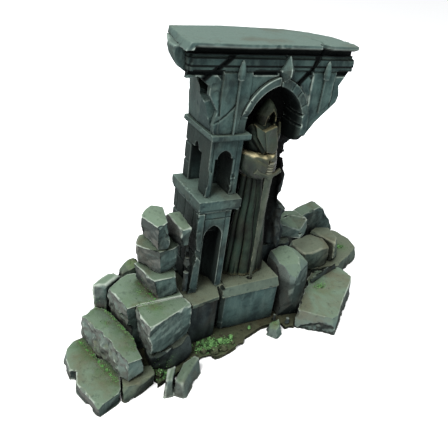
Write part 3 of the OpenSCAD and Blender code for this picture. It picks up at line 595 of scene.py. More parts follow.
def on_tower_low(co, no, seed):
    # dressed strips beside the niche, and coursed sides and back
    for x in (3.0, 10.5):
        groove(co, no, [(x, 1.0, 21), (x, 1.0, 49.6)], 0.28, 0.35, 22)
    groove(co, no, [(1.0, 1.0, 47.4), (12.4, 1.0, 47.4)], 0.26, 0.35, 23)
    side, back = 1.0, 21
    for z0 in (27.5, 35.0, 42.5):
        groove(co, no, [(side, 2.5, z0), (side, back, z0)], 0.45, 0.6, 24)
        groove(co, no, [(side, back, z0), (12.4, back, z0)], 0.45, 0.6, 24)
    joints(co, no, lambda y, z: (side, y, z), ((20.4, 8, 14.5), (27.5, 5.5, 11.5, 17.5), (35, 8.5, 15),
                                               (42.5, 5.5, 12, 18), (50,)), 0.42, 0.5, 25)
    joints(co, no, lambda x, z: (x, back, z), ((20.4, 6), (27.5, 4, 9), (35, 6.5), (42.5, 4, 9), (50,)),
           0.42, 0.5, 26)
    # worn flutes inside the niche
    for x in (4.9, 6.4, 8.0):
        groove(co, no, [(x, 8.5, 21), (x, 8.5, 42)], 0.4, 0.35, 27)
    bites(co, no, seed, 10, ((-1, -1, 20), (1.4, 1.6, 49)), 1.3, 0.5)


def on_tower_up(co, no, seed):
    for x in (4.4, 12.5):
        groove(co, no, [(x, 3.2, 55), (x, 3.2, 72.8)], 0.26, 0.32, 28)
    for x in (6.3, 8.0, 9.7):
        groove(co, no, [(x, 12.0, 55), (x, 12.0, 69)], 0.4, 0.4, 29)
    side, back = 3.2, 20.8
    for z0 in (60.6, 66.8):
        groove(co, no, [(side, back, z0), (14.2, back, z0)], 0.45, 0.6, 30)
        groove(co, no, [(side, 17.4, z0), (side, back, z0)], 0.4, 0.5, 30)
    joints(co, no, lambda x, z: (x, back, z), ((54.5, 7), (60.6, 11, 6), (66.8, 8.6), (73,)), 0.42, 0.5, 31)
    bites(co, no, seed, 4, ((10.8, 2.6, 58), (12.6, 4, 63)), 1.0, 0.5)
    bites(co, no, seed + 1, 5, ((11.4, 2.6, 55), (13.4, 4.5, 59)), 1.1, 0.5)


def on_cornice(co, no, seed):
    bites(co, no, seed, 7, ((-1, -1, 50), (16, 1.2, 76)), 0.9, 0.3)
    bites(co, no, seed + 1, 7, ((-1, 2, 50), (2.6, 22, 76)), 1.1, 0.4)


def rocky(count, radius, depth, margin=0.1):
    """Adds broken faces all over a rough stone."""
    def shape(co, no, seed):
        bites(co, no, seed, count, (co.min(0) - margin, co.max(0) + margin), radius, depth)
    return shape


def riven(co, direction, seed, scale, depth, top):
    """Breaks the side of a stone that faces a direction back to a ragged face, below a height."""
    n = normed(direction)
    h = co @ n
    flat = co - n * h[:, None]
    back = depth * (0.5 + 0.5 * facets(flat, scale, seed))
    back = back + 0.5 * depth * (0.5 + 0.5 * facets(flat, scale * 0.45, seed + 1))
    lim = h.max() - back * unit((top - co[:, 2]) / 1.5)
    co -= n * np.clip(h - lim, 0, None)[:, None]


def hewn(first, *faces):
    """A stone's own breaks, and then sides hewn back to wavy faces."""
    def shape(co, no, seed):
        if first:
            first(co, no, seed)
        for k, (direction, scale, depth, top) in enumerate(faces):
            riven(co, direction, seed + 60 + k, scale, depth, top)
    return shape


def on_boulder_front(co, no, seed):
    for point, n in (((44.5, -1.6, 19.0), (-0.3, -0.62, 0.72)), ((40.2, -0.6, 13), (-0.88, -0.42, 0.2)),
                     ((51.6, 1.2, 13), (0.72, -0.66, 0.22)), ((44, -4.0, 8), (-0.12, -0.96, -0.24)),
                     ((47.0, -1.9, 11), (0.28, -0.95, 0.14)), ((52.6, 6.4, 20), (0.55, -0.1, 0.83))):
        n = normed(n)
        co -= n * np.clip((co - point) @ n, 0, None)[:, None]


def on_beam(co, no, seed):
    (x0, y0, z0), (x1, y1, z1) = co.min(0), co.max(0)
    for k, (u, w) in enumerate(((0.25, 0.4), (0.5, 0.45), (0.78, 0.35))):
        y, z = y0 + (y1 - y0) * u, z0 + (z1 - z0) * u
        groove(co, no, [(x0, y, z1), ((x0 + x1) / 2, y + 0.6, z1 - 0.4), (x1, y + 0.2, z1 - 1)], w, 0.8, 33 + k)
        groove(co, no, [(x0, y0, z), ((x0 + x1) / 2, y0, z + 0.5), (x1, y0 + 1, z)], w, 0.8, 36 + k)


def on_paving_front(co, no, seed):
    """A riven slab: ragged along its front side, reaching to the boulder on its left."""
    x, y, _ = co.T
    d = (y + 6.2) * 0.714 - (x - 45) * 0.70
    left = 0.9 * unit((d + 2.5) / 1.5) * (y < 12.5)
    co[:, 0] -= left
    co[:, 1] += left
    riven(co, (-0.56, -0.83, 0), seed, 2.6, 1.3, 6.4)


# how a stone is worked: voxel, bevel, chip, every, facet amplitude, facet scale, undulation
DRESSED = (0.27, 0.16, 0.42, 8.0, 0.05, 3.0, 0.06)
STRAIGHT = (0.24, 0.11, 0.2, 10.0, 0.03, 3.0, 0.04)
FINE = (0.2, 0.08, 0.18, 14.0, 0.02, 2.0, 0.03)
BROKEN = (0.3, 0.26, 0.9, 5.0, 0.34, 4.6, 0.12)
ROUGH = (0.3, 0.3, 0.9, 5.5, 0.3, 4.2, 0.16)
SMALL = (0.26, 0.18, 0.6, 6.0, 0.24, 3.2, 0.1)
TORN = (0.3, 0.2, 0.5, 6.0, 0.12, 4.2, 0.1)

# grow: how far it fills its joints; breaks: how many broken faces and how deep; rim: how much of the
# pale painted highlight its edges catch; shape: cuts and hollows of its own
Stone = namedtuple("Stone", "style grow breaks rim shape", defaults=(DRESSED, 0.0, None, 1.0, None))
PLINTH = Stone(shape=rocky(10, 2.0, 0.35, 0.0))
STONES = {
    "step_slab_1": Stone(BROKEN, 0.2, (16, 0.9)),
    "step_block_2": Stone(BROKEN, 0.3, (22, 0.9), 1.0, hewn(
        rocky(3, 3.4, 0.3), ((-0.955, -0.273, 0.14), 3.6, 1.7, 14.6))),
    "step_block_3_rear": Stone(BROKEN, 0.75, (9, 0.8), 0.5),
    "step_block_3_middle": Stone(BROKEN, 0.3, (16, 0.9), 1.0, hewn(None, ((-0.985, -0.17, -0.1), 3.4, 1.4, 23.2))),
    "step_block_3_front": Stone(BROKEN, 0.5, (20, 0.9), 1.0, hewn(
        rocky(3, 3.4, 0.3), ((-0.98, -0.05, -0.15), 3.4, 1.4, 23.2), ((0.378, -0.926, 0.02), 3.8, 1.2, 23.0))),
    "step_footing_left": Stone(ROUGH, 0.4, (16, 1.0), 0.2),
    "step_footing_front": Stone(ROUGH, 0.3, (22, 1.0), 0.4, rocky(4, 2.8, 0.4)),
    "boulder_mossy_left": Stone(ROUGH, 0.5, (24, 1.6), 0.6),
    "wall_stub_bottom": Stone(BROKEN, 0.25, (16, 0.9), 1.0, rocky(3, 3.0, 0.3)),
    "wall_stub_middle": Stone(BROKEN, 0.25, (18, 1.0), 1.0, rocky(3, 3.0, 0.3)),
    "wall_stub_top": Stone(BROKEN, 0.2, (12, 1.0)),
    "wall_stub_upright": Stone(BROKEN, 0.3, (10, 0.8)),
    "wall_stub_chinking": Stone(ROUGH, rim=0.5),
    "paving_slab_front": Stone(BROKEN, 0.35, (14, 1.0), 1.0, on_paving_front),
    "paving_slab_rear": Stone(BROKEN, 0.3, (14, 1.0), 0.4),
    "boulder_front_right": Stone(BROKEN, 0.5, (10, 1.2), 0.8, on_boulder_front),
    "boulder_middle_right": Stone(BROKEN, 0.6, (12, 0.8), 0.4),
    "boulder_rear_right": Stone(BROKEN, 0.6, (12, 1.0), 0.4),
    "boulder_back_right": Stone(ROUGH, 0.3, (16, 1.3), 1.0, rocky(3, 3.0, 0.4)),
    "fallen_arch_segment": Stone(BROKEN, 0.2, (10, 1.0)),
    "fallen_beam": Stone(SMALL, 0.5, (4, 0.6), 1.0, on_beam),
    "fallen_blocks_front": Stone(SMALL, 0.5, rim=0.35),
    "loose_stone_front": Stone(SMALL, 0.2, (6, 0.7), 0.6),
    "rubble_chips_right": Stone(ROUGH, rim=0.6),
    "ground_pebbles": Stone(ROUGH, rim=0.4),
    "ground_base": Stone((0.45, 0.3, 0.8, 4.0, 0.3, 2.2, 0.2), rim=0.3),
    "rear_base_course": Stone((0.4, 0.3, 1.0, 6.0, 0.2, 4.0, 0.12), rim=0.7, shape=on_base_course),
    "niche_back_wall": Stone((0.4, 0.35, 1.2, 4.0, 0.2, 4.0, 0.12), rim=0.6, shape=on_niche),
    "wall_core_upper": Stone((0.4, 0.35, 1.2, 5.0, 0.2, 4.0, 0.12), rim=0.7, shape=on_core),
    "wall_end_wedge": Stone(TORN, 0.1, rim=0.45, shape=on_wedge),
    "wall_end_body": Stone(TORN, rim=0.7, shape=on_wall_body),
    "tower_lower_stage": Stone(STRAIGHT, rim=0.8, shape=on_tower_low),
    "tower_upper_stage": Stone(STRAIGHT, rim=0.8, shape=on_tower_up),
    "tower_lower_cornice": Stone(shape=on_cornice),
    "tower_upper_cornice": Stone(FINE, shape=on_cornice),
    "spandrel_left": Stone(STRAIGHT, rim=0.7, shape=on_spandrel_left),
    "spandrel_right": Stone(STRAIGHT, rim=0.5, shape=on_spandrel_right),
    "arch_moulding_left": Stone(FINE, shape=on_arch_left),
    "arch_moulding_right": Stone(FINE, rim=0.6, shape=on_arch_right),
    "frieze_left": Stone(FINE, rim=0.75, shape=on_frieze),
    "frieze_right": Stone(FINE, rim=0.75, shape=on_frieze),
    "keystone": Stone(FINE),
    "pendant_finials": Stone(FINE, rim=0.7),
    "pendant_rods": Stone(FINE, rim=0.3),
    "top_slab": Stone(rim=0.6, shape=on_slab),
    "plinth_wall": PLINTH, "plinth_ledge": PLINTH, "pedestal_block": PLINTH, "pedestal_cap": PLINTH,
    "statue_robe": Stone(rim=1.2), "statue_hood": Stone(rim=1.5),
}


def stone_of(node):
    return STONES.get(node, Stone())


def shade_mask(node, co, no):
    """Painted shade, laid on as near-black: under the deck, in the arch, the niches and the deep joints, and on shaded
    sides.
    """
    x, y, z = co.T
    d = np.zeros(len(co))

    def paint_shade(v):
        np.maximum(d, v, out=d)

    # whole pieces set darker: painted shade on the head deep in the hood, and an even darkening of the torso, the
    # frieze, the front footing and the fallen stones
    flat = {"frieze_left": 0.36, "frieze_right": 0.36, "statue_torso": 0.35, "statue_head": 0.72,
            "step_footing_front": 0.28, "fallen_blocks_front": 0.28, "fallen_beam": 0.28}
    paint_shade(flat.get(node, 0))
    # painted shade: a black band under the deck, and shadow lines under the mouldings and in the sunk panels
    if node.startswith("frieze"):
        paint_shade(unit((z - 97.8) / 0.25))
        paint_shade(0.98 * np.exp(-((z - 95.05) / 0.34) ** 4))
        paint_shade(0.85 * np.exp(-((z - 97.2) / 0.24) ** 4))
        paint_shade(0.45 * unit((z - 97.0) / 0.3))
        strip = ((x > 4.2) & (x < 13.7)) | ((x > 34.8) & (x < 43.8)) | (x < -5.5)
        paint_shade(np.where(strip, 0, 0.97 * unit((94.1 - z) / 0.2)))
    # painted shade in the cracks
    if node.startswith(("frieze", "spandrel")):
        paint_shade(unit(1.9 - distance_on_face(co, [CRACK_LEFT, CRACK_RIGHT]) / 0.65))
    # painted shade: the sides of a stone darker towards its bottom
    if node in STAIR_NODES or node in ("plinth_wall", "pedestal_block"):
        low = 1 - (z - z.min()) / (z.max() - z.min())
        paint_shade((0.2 if node.startswith("wall_stub") else 0.45) * low**1.4 * unit((0.5 - no[:, 2]) / 0.3))
    # painted shade close to the table
    if node.startswith(("step", "wall_stub", "boulder", "paving")):
        paint_shade(0.55 * unit((2.4 - z) / 2.4))
    # painted shade in the scoop, on the underside and along the lower front of the slab
    if node == "top_slab":
        paint_shade(0.9 * unit(1.5 - np.hypot(x - 36.1, y - 1.7)))
        paint_shade(np.where(no[:, 2] < -0.4, 0.98, 0))
        paint_shade(unit((100.75 - z) / 0.3) * (y > -1) * (y < 5) * (x > -5.5))
    # painted shade, darker towards the bottom
    if node == "wall_end_wedge":
        paint_shade(0.5 * unit((93.6 - z) / 2.5))
    # painted shade in the sunk panels, behind the arch and under the deck
    if node.startswith("spandrel"):
        paint_shade(0.97 * ((z > 92.2) & (z < 94) & (y > 3.3) & (y < 5)))
        paint_shade(0.95 * ((y > 5.2) & (x < 36) & (z > 70)))
        paint_shade(0.6 * unit(z - 93.4))
    # painted shade deeper inside the arch
    if node == "arch_moulding_right":
        paint_shade(0.88 * unit((y - 1.8) / 3.5) ** 0.7)
    if node == "arch_moulding_left":
        paint_shade(0.95 * unit((y - 3.2) / 1.5))
    # painted shade on the lower sides
    if node in ("boulder_front_right", "paving_slab_front"):
        paint_shade(0.6 * unit((0.45 - no[:, 2]) / 0.2) * unit((18.5 - z) / 3))
    # painted shade under the fallen arch segment
    if node == "fallen_arch_segment":
        paint_shade(0.85 * (no[:, 2] < -0.3))
    # painted shade on the front part of the core, behind the arch
    if node == "wall_core_upper":
        paint_shade(0.96 * ((y < 14.5) & (x < 37)))
    # painted shade inside the niche
    if node == "niche_back_wall":
        paint_shade(0.95 * ((y < 14.2) & (x < 40.2)) * unit((39.2 - x) / 2.2))
        paint_shade(0.45 * unit((z - 60) / 6) * (y < 18))
    # painted shade on the tower, strongest on its left faces
    if node in ("tower_upper_stage", "tower_lower_stage"):
        paint_shade(np.where(no[:, 0] < -0.6, 0.56, 0.2))
    # painted shade on the jambs and inside the lantern openings
    if node == "tower_upper_stage":
        jamb = (z > 54.6) & (z < 70.5) & (((x < 4.2) & (np.abs(no[:, 1]) > 0.6) & (y > 3.6) & (y < 20.6))
                                          | ((y < 4.8) & (np.abs(no[:, 0]) > 0.6) & (x > 3.7) & (x < 14.4)))
        paint_shade(0.72 * jamb)
        inner = np.maximum(unit((y - 3.5) / 1.6) * (x > 4), unit((x - 3.5) / 1.6) * (y > 4))
        inner = inner * ((x > 3.6) & (x < 13.9) & (y > 3.6) & (y < 20.4))
        paint_shade(inner * interp(z, (54.4, 0.35), (60, 0.7), (66, 0.93), (73, 0.97)))
    # painted shade inside the niche and under the cornice
    if node == "tower_lower_stage":
        inner = unit((y - 1.6) / 2.6) * ((x > 3.2) & (x < 10.2) & (y < 9.5))
        paint_shade(inner * interp(z, (20.3, 0.5), (28, 0.72), (38, 0.93), (50, 0.96)))
        paint_shade(0.4 * unit((z - 48) / 2))
    # painted shade on the statue towards the back of the niche, under the hood and on the far side of the robe
    if node.startswith("statue"):
        paint_shade(0.85 * unit((y - 5.2) / 2.6))
    if node == "statue_hood":
        paint_shade(0.45 * np.clip((84 - z) / 3 + 0.4, 0.4, 1))
    if node == "statue_robe":
        paint_shade(0.8 * unit((x - 27.6) / 2.5))
        paint_shade(0.7 * unit((y - 6.5) / 3))
        paint_shade(0.6 * unit((z - 55) / 4.5))
    return unit(d)


# ------------------------------------------------------------------ materials


def srgb(r, g, b):
    f = lambda c: (c / 255 / 12.92) if c <= 10 else ((c / 255 + 0.055) / 1.055) ** 2.4
    return (f(r), f(g), f(b), 1.0)


class Nodes:
    """The nodes of a material: each call adds one and gives its output."""

    def __init__(self, name):
        self.mat = bpy.data.materials.new(name)
        self.mat.use_nodes = True
        self.t = self.mat.node_tree
        self.t.nodes.clear()
        self.col = None  # the paint so far

    def new(self, kind, inputs, **settings):
        n = self.t.nodes.new(kind)
        for k, v in settings.items():
            setattr(n, k, v)
        for k, v in inputs.items():
            if isinstance(v, bpy.types.NodeSocket):
                self.t.links.new(v, n.inputs[k])
            else:
                n.inputs[k].default_value = v
        return n

    def math(self, op, a, b):
        return self.new("ShaderNodeMath", {0: a, 1: b}, operation=op).outputs[0]

    def mul(self, a, b):
        return self.math("MULTIPLY", a, b)

    def mix(self, fac, a, b, blend="MIX"):
        return self.new("ShaderNodeMix", {0: fac, 6: a, 7: b}, data_type="RGBA", blend_type=blend,
                        clamp_factor=True).outputs[2]

    def lay(self, paint, amount, mask):
        """Another coat over the paint so far."""
        self.col = self.mix(self.mul(mask, amount), self.col, paint)

    def ramp(self, v, lo, hi, a=0.0, b=1.0):
        return self.new("ShaderNodeMapRange", {0: v, 1: lo, 2: hi, 3: a, 4: b},
                        interpolation_type="SMOOTHSTEP").outputs[0]

    def noise(self, scale, detail=3.0, rough=0.6, distort=0.0, stretch=None):
        v = self.new("ShaderNodeTexCoord", {}).outputs["Object"]
        if stretch:
            v = self.new("ShaderNodeMapping", {"Vector": v, "Scale": stretch}).outputs[0]
        return self.new("ShaderNodeTexNoise", {"Vector": v, "Scale": scale, "Detail": detail, "Roughness": rough,
                                               "Distortion": distort}).outputs["Fac"]

    def occlusion(self, distance):
        return self.new("ShaderNodeAmbientOcclusion", {"Distance": distance}, samples=1).outputs["AO"]

    def attr(self, name):
        return self.new("ShaderNodeAttribute", {}, attribute_name=name).outputs["Fac"]

    def facing(self):
        normal = self.new("ShaderNodeNewGeometry", {}).outputs["Normal"]
        return self.new("ShaderNodeSeparateXYZ", {0: normal}).outputs

    def surface(self, colour, rough, gloss, **bump):
        """The shader itself; bump gives Strength, Distance and Height."""
        p = self.new("ShaderNodeBsdfPrincipled",
                     {"Base Color": colour, "Roughness": rough, "Specular IOR Level": gloss})
        if bump:
            self.t.links.new(self.new("ShaderNodeBump", bump).outputs[0], p.inputs["Normal"])
        self.new("ShaderNodeOutputMaterial", {0: p.outputs[0]})
        return self.mat


def painted(name, mid, dark, light, wash, edge, gloss=0.07, rough=0.82, wash_amount=0.6, edge_amount=1.0,
            grain=1.0, top=None, left=None):
    """Layered miniature paint: base, mottling, painted light and shade on planes by the way they face, wash in hollows,
    painted shade in hollows and creases, painted highlights on edges, moss.

    top and left are a colour of painted light and shade, and how much of it lies on the planes that face that way.
    """
    mid, dark, light, wash, edge = (srgb(*c) for c in (mid, dark, light, wash, edge))

    def deep(r, g, b):
        return (dark[0] * r, dark[1] * g, dark[2] * b, 1)

    k = Nodes(name)
    fine = k.noise(620, 4)
    k.col = k.mix(k.ramp(k.noise(130, 3, 0.55), 0.34, 0.66), dark, mid)
    k.lay(light, 0.45, k.ramp(k.noise(420, 3, 0.6, 0.3, stretch=(1.0, 1.0, 0.35)), 0.42, 0.7))
    facing = k.facing()
    up = facing["Z"]
    # painted light and shade: the planes facing left take a tone of their own
    if left:
        k.lay(srgb(*left[0]), left[1], k.ramp(facing["X"], -0.25, -0.8))
    # painted highlight on planes that tilt up, painted shade on planes that tilt down
    k.lay(light, 0.6, k.ramp(up, 0.03, 0.34))
    k.lay(dark, 0.65, k.ramp(up, -0.02, -0.3))
    # painted highlight: the planes facing up take a lighter tone
    if top:
        k.lay(srgb(*top[0]), top[1], k.ramp(up, 0.45, 0.9))
    # brown wash, patchy, most on upward faces
    k.lay(wash, wash_amount, k.mul(k.ramp(k.noise(75, 4, 0.6, 0.4), 0.47, 0.68), k.ramp(up, -0.2, 0.8, 0.35, 1.0)))
    # speckle
    k.lay(light, 0.3 * grain, k.ramp(fine, 0.52, 0.72))
    k.lay(dark, 0.4 * grain, k.ramp(fine, 0.46, 0.3))
    # green and brown stain where water gathers, and moss paint in the joints
    damp = k.attr("damp")
    wet = k.mul(damp, k.ramp(up, 0.1, 0.8, 0.25, 1.0))
    k.lay(srgb(62, 88, 54), 0.62, k.mul(wet, k.ramp(k.noise(240, 4, 0.65), 0.36, 0.6)))
    k.lay(wash, 0.35, k.ramp(damp, 0.82, 1.0))
    k.lay(srgb(66, 132, 56), 1.0, k.ramp(k.mul(k.attr("moss"), k.ramp(k.noise(900), 0.42, 0.66)), 0.08, 0.7))
    # deep shading in the hollows
    ao = k.occlusion(0.007)
    hollow = k.mul(k.ramp(ao, 0.12, 0.92, 0.22, 1.0), k.ramp(k.occlusion(0.0018), 0.25, 0.85, 0.4, 1.0))
    k.col = k.mix(1.0, k.col, k.mix(hollow, deep(0.22, 0.2, 0.18), (1, 1, 1, 1)), "MULTIPLY")
    # painted shade from shade_mask, laid on as near-black
    painted_shade = k.attr("dark")
    k.lay(deep(0.1, 0.1, 0.09), 1.0, k.ramp(painted_shade, 0.0, 0.97))
    # painted highlights on the edges and rims, and painted shade in the creases
    curve, broad = k.attr("curve"), k.attr("broad")
    rim = k.mul(k.ramp(curve, 0.04, 0.19), k.ramp(k.noise(260), 0.28, 0.6, 0.35, 1.0))
    rim = k.mul(rim, k.ramp(ao, 0.25, 0.7, 0.25, 1.0))
    rim = k.mul(rim, k.math("SUBTRACT", 1.0, k.mul(painted_shade, 0.85)))
    crease = deep(0.25, 0.25, 0.25)
    k.lay(edge, 0.68 * edge_amount, rim)
    k.lay(crease, 0.6, k.ramp(curve, -0.03, -0.16))
    # painted highlight on broad ridges, painted shade in broad valleys
    k.lay(edge, 0.3 * edge_amount, k.ramp(broad, 0.03, 0.22))
    k.lay(crease, 0.75, k.ramp(broad, -0.02, -0.2))
    height = k.math("ADD", k.mul(k.noise(300), 1.2), k.math("ADD", fine, k.mul(k.noise(1700, 2), 0.4)))
    return k.surface(k.col, k.ramp(fine, 0.3, 0.7, rough - 0.07, min(rough + 0.08, 1)), gloss,
                     Strength=0.55, Distance=0.0004, Height=height)


def moss_material():
    k = Nodes("moss_flock")
    colour = k.mix(k.ramp(k.noise(900), 0.35, 0.66), srgb(46, 72, 44), srgb(106, 150, 92))
    return k.surface(colour, 0.95, 0.1, Strength=0.8, Distance=0.0002, Height=k.noise(3200, 2))


# mid, dark and light tone, brown wash, painted edge highlight; top and left are painted light and shade on the planes
# facing that way
MATS = {
    "stone": painted("stone_paint", (55, 74, 72), (30, 42, 43), (74, 92, 88), (64, 57, 42), (156, 170, 162),
                     top=((78, 94, 87), 0.95), left=((52, 61, 57), 0.7), wash_amount=0.4),
    "stone_dark": painted("stone_dark_paint", (38, 47, 48), (20, 26, 28), (54, 64, 63), (54, 47, 35),
                          (112, 122, 117), top=((80, 88, 77), 0.85), left=((48, 50, 46), 0.6)),
    "stone_warm": painted("stone_warm_paint", (58, 71, 65), (31, 40, 37), (80, 92, 82), (74, 66, 48),
                          (142, 146, 128), top=((88, 95, 80), 0.9), left=((60, 60, 52), 0.6), wash_amount=0.45),
    "earth": painted("earth_paint", (44, 47, 37), (20, 23, 19), (72, 75, 58), (58, 50, 34), (100, 104, 82),
                     rough=0.92, grain=2.0),
    "moss": moss_material(),
    "robe": painted("robe_paint", (30, 45, 37), (8, 13, 11), (48, 58, 46), (56, 52, 38), (122, 118, 90),
                    gloss=0.1, rough=0.6, grain=0.3, wash_amount=0.5, edge_amount=1.3),
    "robe_trim": painted("robe_trim_paint", (32, 48, 39), (11, 18, 15), (50, 60, 46), (56, 50, 33),
                         (186, 176, 138), gloss=0.22, rough=0.42, grain=0.3, wash_amount=0.5, edge_amount=1.45,
                         top=((108, 103, 76), 0.7)),
    "skin": painted("skin_paint", (44, 48, 42), (22, 26, 23), (66, 68, 60), (50, 44, 34), (96, 98, 84), rough=0.7),
    "sword": painted("sword_paint", (52, 60, 52), (30, 37, 32), (72, 78, 66), (62, 56, 42), (158, 158, 138),
                     rough=0.42),
}
# the stairs' paint, with painted highlight on the planes facing up and left
STAIR = painted("stone_stair_paint", (59, 76, 73), (32, 42, 42), (86, 102, 97), (80, 68, 50), (158, 168, 158),
                top=((90, 106, 90), 0.95), left=((90, 91, 87), 0.8), wash_amount=0.5)

# ------------------------------------------------------------------ stones


def stone_piece(node):
    style, grow, breaks, _, shape = stone_of(node)
    vx, bevel, chip, every, fa, fs, und = style
    rng = np.random.default_rng(sum(ord(c) * (i + 3) for i, c in enumerate(node)))
    seed = int(rng.integers(1, 900))
    me, edges = cad_mesh(node, hull=node == "fallen_arch_segment")
    me = voxel(me, vx * COARSER)
    co = get_co(me)
    # stones fill their joints: the wear below takes this off again at the edges
    co += get_no(me) * grow
    edges = [(p + grow * (a + b), q + grow * (a + b), a, b) for p, q, a, b in edges]
    wear_edges(co, edges, rng, bevel, chip, every)
    set_co(me, co)
    if breaks:
        chisel(me, seed + 5, *breaks)
    co, no = get_co(me) if breaks else co, get_no(me)
    # flat splits and soft unevenness, always inwards
    q, share = co, 0.5
    if fa > 0.2:
        grain_dir = np.array([0.78, -0.2, 0.59])
        q = co - 0.62 * (co @ grain_dir)[:, None] * grain_dir
        share = 0.25
        fa = fa * (2.9 - 2.2 * unit(no[:, 2]))  # sides split rougher than the trodden tops
    d = fa * (share + 0.5 * facets(q, fs, seed)) + und * (0.5 + 0.5 * fbm(co, 5.0, seed + 3)) * 0.8
    d += 0.3 * fa * (0.5 + 0.5 * facets(q, fs * 0.42, seed + 7))
    rest = unit((co[:, 2] - 0.02) / 0.4)  # flat where it lies on the table
    co -= no * (d * rest)[:, None]
    if shape:
        shape(co, no, seed)
    set_co(me, np.clip(co, [*BOX_LO[:2], 0.0], [*BOX_HI[:2], np.inf]))
    mat = {"fallen_arch_segment": STAIR, "wall_end_wedge": MATS["stone"], "wall_end_body": MATS["stone"]}.get(node)
    if node in STAIR_NODES and SLOT[node] == "stone":
        mat = STAIR
    finish_piece(node, "_finish", me, SLOT[node], mat)


# ------------------------------------------------------------------ statue

AXIS = np.array([24.6, 7.9])


def grid_mesh(rings):
    """A closed mesh from rings of points, with its two ends capped."""
    rings = np.asarray(rings, float)
    m, n, _ = rings.shape
    ends = rings[[0, -1]].mean(1)
    verts = np.vstack([rings.reshape(-1, 3), ends])
    faces = []
    for i in range(m - 1):
        for j in range(n):
            k = (j + 1) % n
            faces.append((i * n + j, i * n + k, (i + 1) * n + k, (i + 1) * n + j))
    for j in range(n):
        k = (j + 1) % n
        faces.append((m * n, k, j))
        faces.append((m * n + 1, (m - 1) * n + j, (m - 1) * n + k))
    return from_lists("grid", verts.tolist(), faces)


def join(*meshes):
    bm = bmesh.new()
    for me in meshes:
        bm.from_mesh(me)
        bpy.data.meshes.remove(me)
    bmesh.ops.recalc_face_normals(bm, faces=bm.faces)
    bmesh.ops.triangulate(bm, faces=bm.faces)
    return baked(bm, "join")


def ring_at(z, rx, ry, cx=AXIS[0], cy=AXIS[1], n=96, power=2.0, tilt=0.0):
    t = np.linspace(0, 2 * np.pi, n, endpoint=False)
    c, s = np.cos(t), np.sin(t)
    e = 2 / power
    x = cx + rx * np.sign(c) * np.abs(c) ** e
    y = cy + ry * np.sign(s) * np.abs(s) ** e
    return np.stack([x, y, z + tilt * (y - cy)], 1)


def robe():
    """Pleats as rounded flutes with sharp valleys; each one wanders a little on its way up."""
    n, m = 420, 170
    t = np.linspace(-180, 180, n, endpoint=False)
    z = np.concatenate([[20.35, 20.5], np.linspace(20.8, 60.0, m)])
    flutes = np.array([-172, -139, -103, -74, -42, -10, 22, 54, 86, 118, 151])
    rings = []
    for zz in z:
        h = (zz - 20.3) / 39.7
        squeeze = 1 - 0.22 * h
        centres = -93 + (flutes + 93) * squeeze
        centres = centres + 2.2 * np.sin(zz / 6.5 + flutes) + 1.6 * np.sin(zz / 3.1 + flutes * 0.7)
        gap = np.full(n, 1e9)
        for c in np.concatenate([centres, centres - 360, centres + 360]):
            gap = np.minimum(gap, np.abs(t - c))
        half = 16.0 * squeeze
        d = np.clip(gap / half, 0, 1.25)
        bump = np.sqrt(unit(1 - 0.64 * d * d))
        amp = interp(h, (0, 2.5), (0.25, 2.3), (0.7, 1.7), (1, 1.1))
        r = 1 - amp / 7.0 * (1 - bump)
        # creases that start at the waist or at the hem and die away
        for c, z0, z1, depth, width in ((-122, 60, 36, 0.5, 3.5), (-96, 60, 41, 0.55, 3.0), (-58, 60, 33, 0.5, 3.2),
                                        (-150, 60, 44, 0.5, 3.5), (-88, 20, 36, 0.3, 3.0), (-132, 20, 33, 0.35, 3.2),
                                        (-52, 20, 31, 0.3, 2.6), (-30, 58, 40, 0.4, 3.0)):
            f = unit(1 - abs(zz - z0) / abs(z1 - z0))
            cc = -93 + (c + 93) * squeeze + 1.5 * math.sin(zz / 5 + c)
            r = r - depth / 7.0 * f * np.exp(-((t - cc) / width) ** 2)
        rx = interp(h, (0, 8.5), (0.1, 8.1), (0.35, 7.3), (0.7, 6.1), (1, 5.4))
        ry = interp(h, (0, 5.0), (0.1, 4.9), (0.6, 4.4), (1, 4.1))
        tuck = interp(zz, (20.35, 0.955), (20.5, 0.985), (20.9, 1.0))
        a = np.radians(t)
        x = AXIS[0] - 2.1 * h + rx * r * tuck * np.cos(a)
        y = AXIS[1] + ry * r * tuck * np.sin(a)
        rings.append(np.stack([x, np.minimum(y, 12.9), np.full(n, zz)], 1))
    return grid_mesh(rings)


def tube(path, halves, power=2.6, n=64, steps=36, end_in=0.0):
    """A flattened tube along a path: halves are (half thickness, half height) at each point of the path."""
    path, halves = np.array(path, float), np.array(halves, float)
    k = np.linspace(0, len(path) - 1, steps)
    idx = np.arange(len(path))
    pos = np.stack([np.interp(k, idx, path[:, i]) for i in range(3)], 1)
    for _ in range(6):
        pos[1:-1] = 0.5 * pos[1:-1] + 0.25 * (pos[:-2] + pos[2:])
    hs = np.stack([np.interp(k, idx, halves[:, i]) for i in range(2)], 1)
    for _ in range(4):
        hs[1:-1] = 0.5 * hs[1:-1] + 0.25 * (hs[:-2] + hs[2:])
    t = np.linspace(0, 2 * np.pi, n, endpoint=False)
    c, s = np.cos(t), np.sin(t)
    c, s = np.sign(c) * np.abs(c) ** (2 / power), np.sign(s) * np.abs(s) ** (2 / power)
    rings = []
    for i in range(steps):
        tan = pos[min(i + 1, steps - 1)] - pos[max(i - 1, 0)]
        tan /= np.linalg.norm(tan)
        up = np.array([0, 0, 1.0]) - tan * tan[2]
        up /= np.linalg.norm(up)
        side = np.cross(tan, up)
        rings.append(pos[i] + np.outer(c * hs[i, 0], side) + np.outer(s * hs[i, 1], up))
    if end_in:
        last = rings[-1]
        mid = last.mean(0)
        rings.append(mid + (last - mid) * 0.82)
        rings.append(mid + (last - mid) * 0.78 - tan * end_in)
    return grid_mesh(rings)


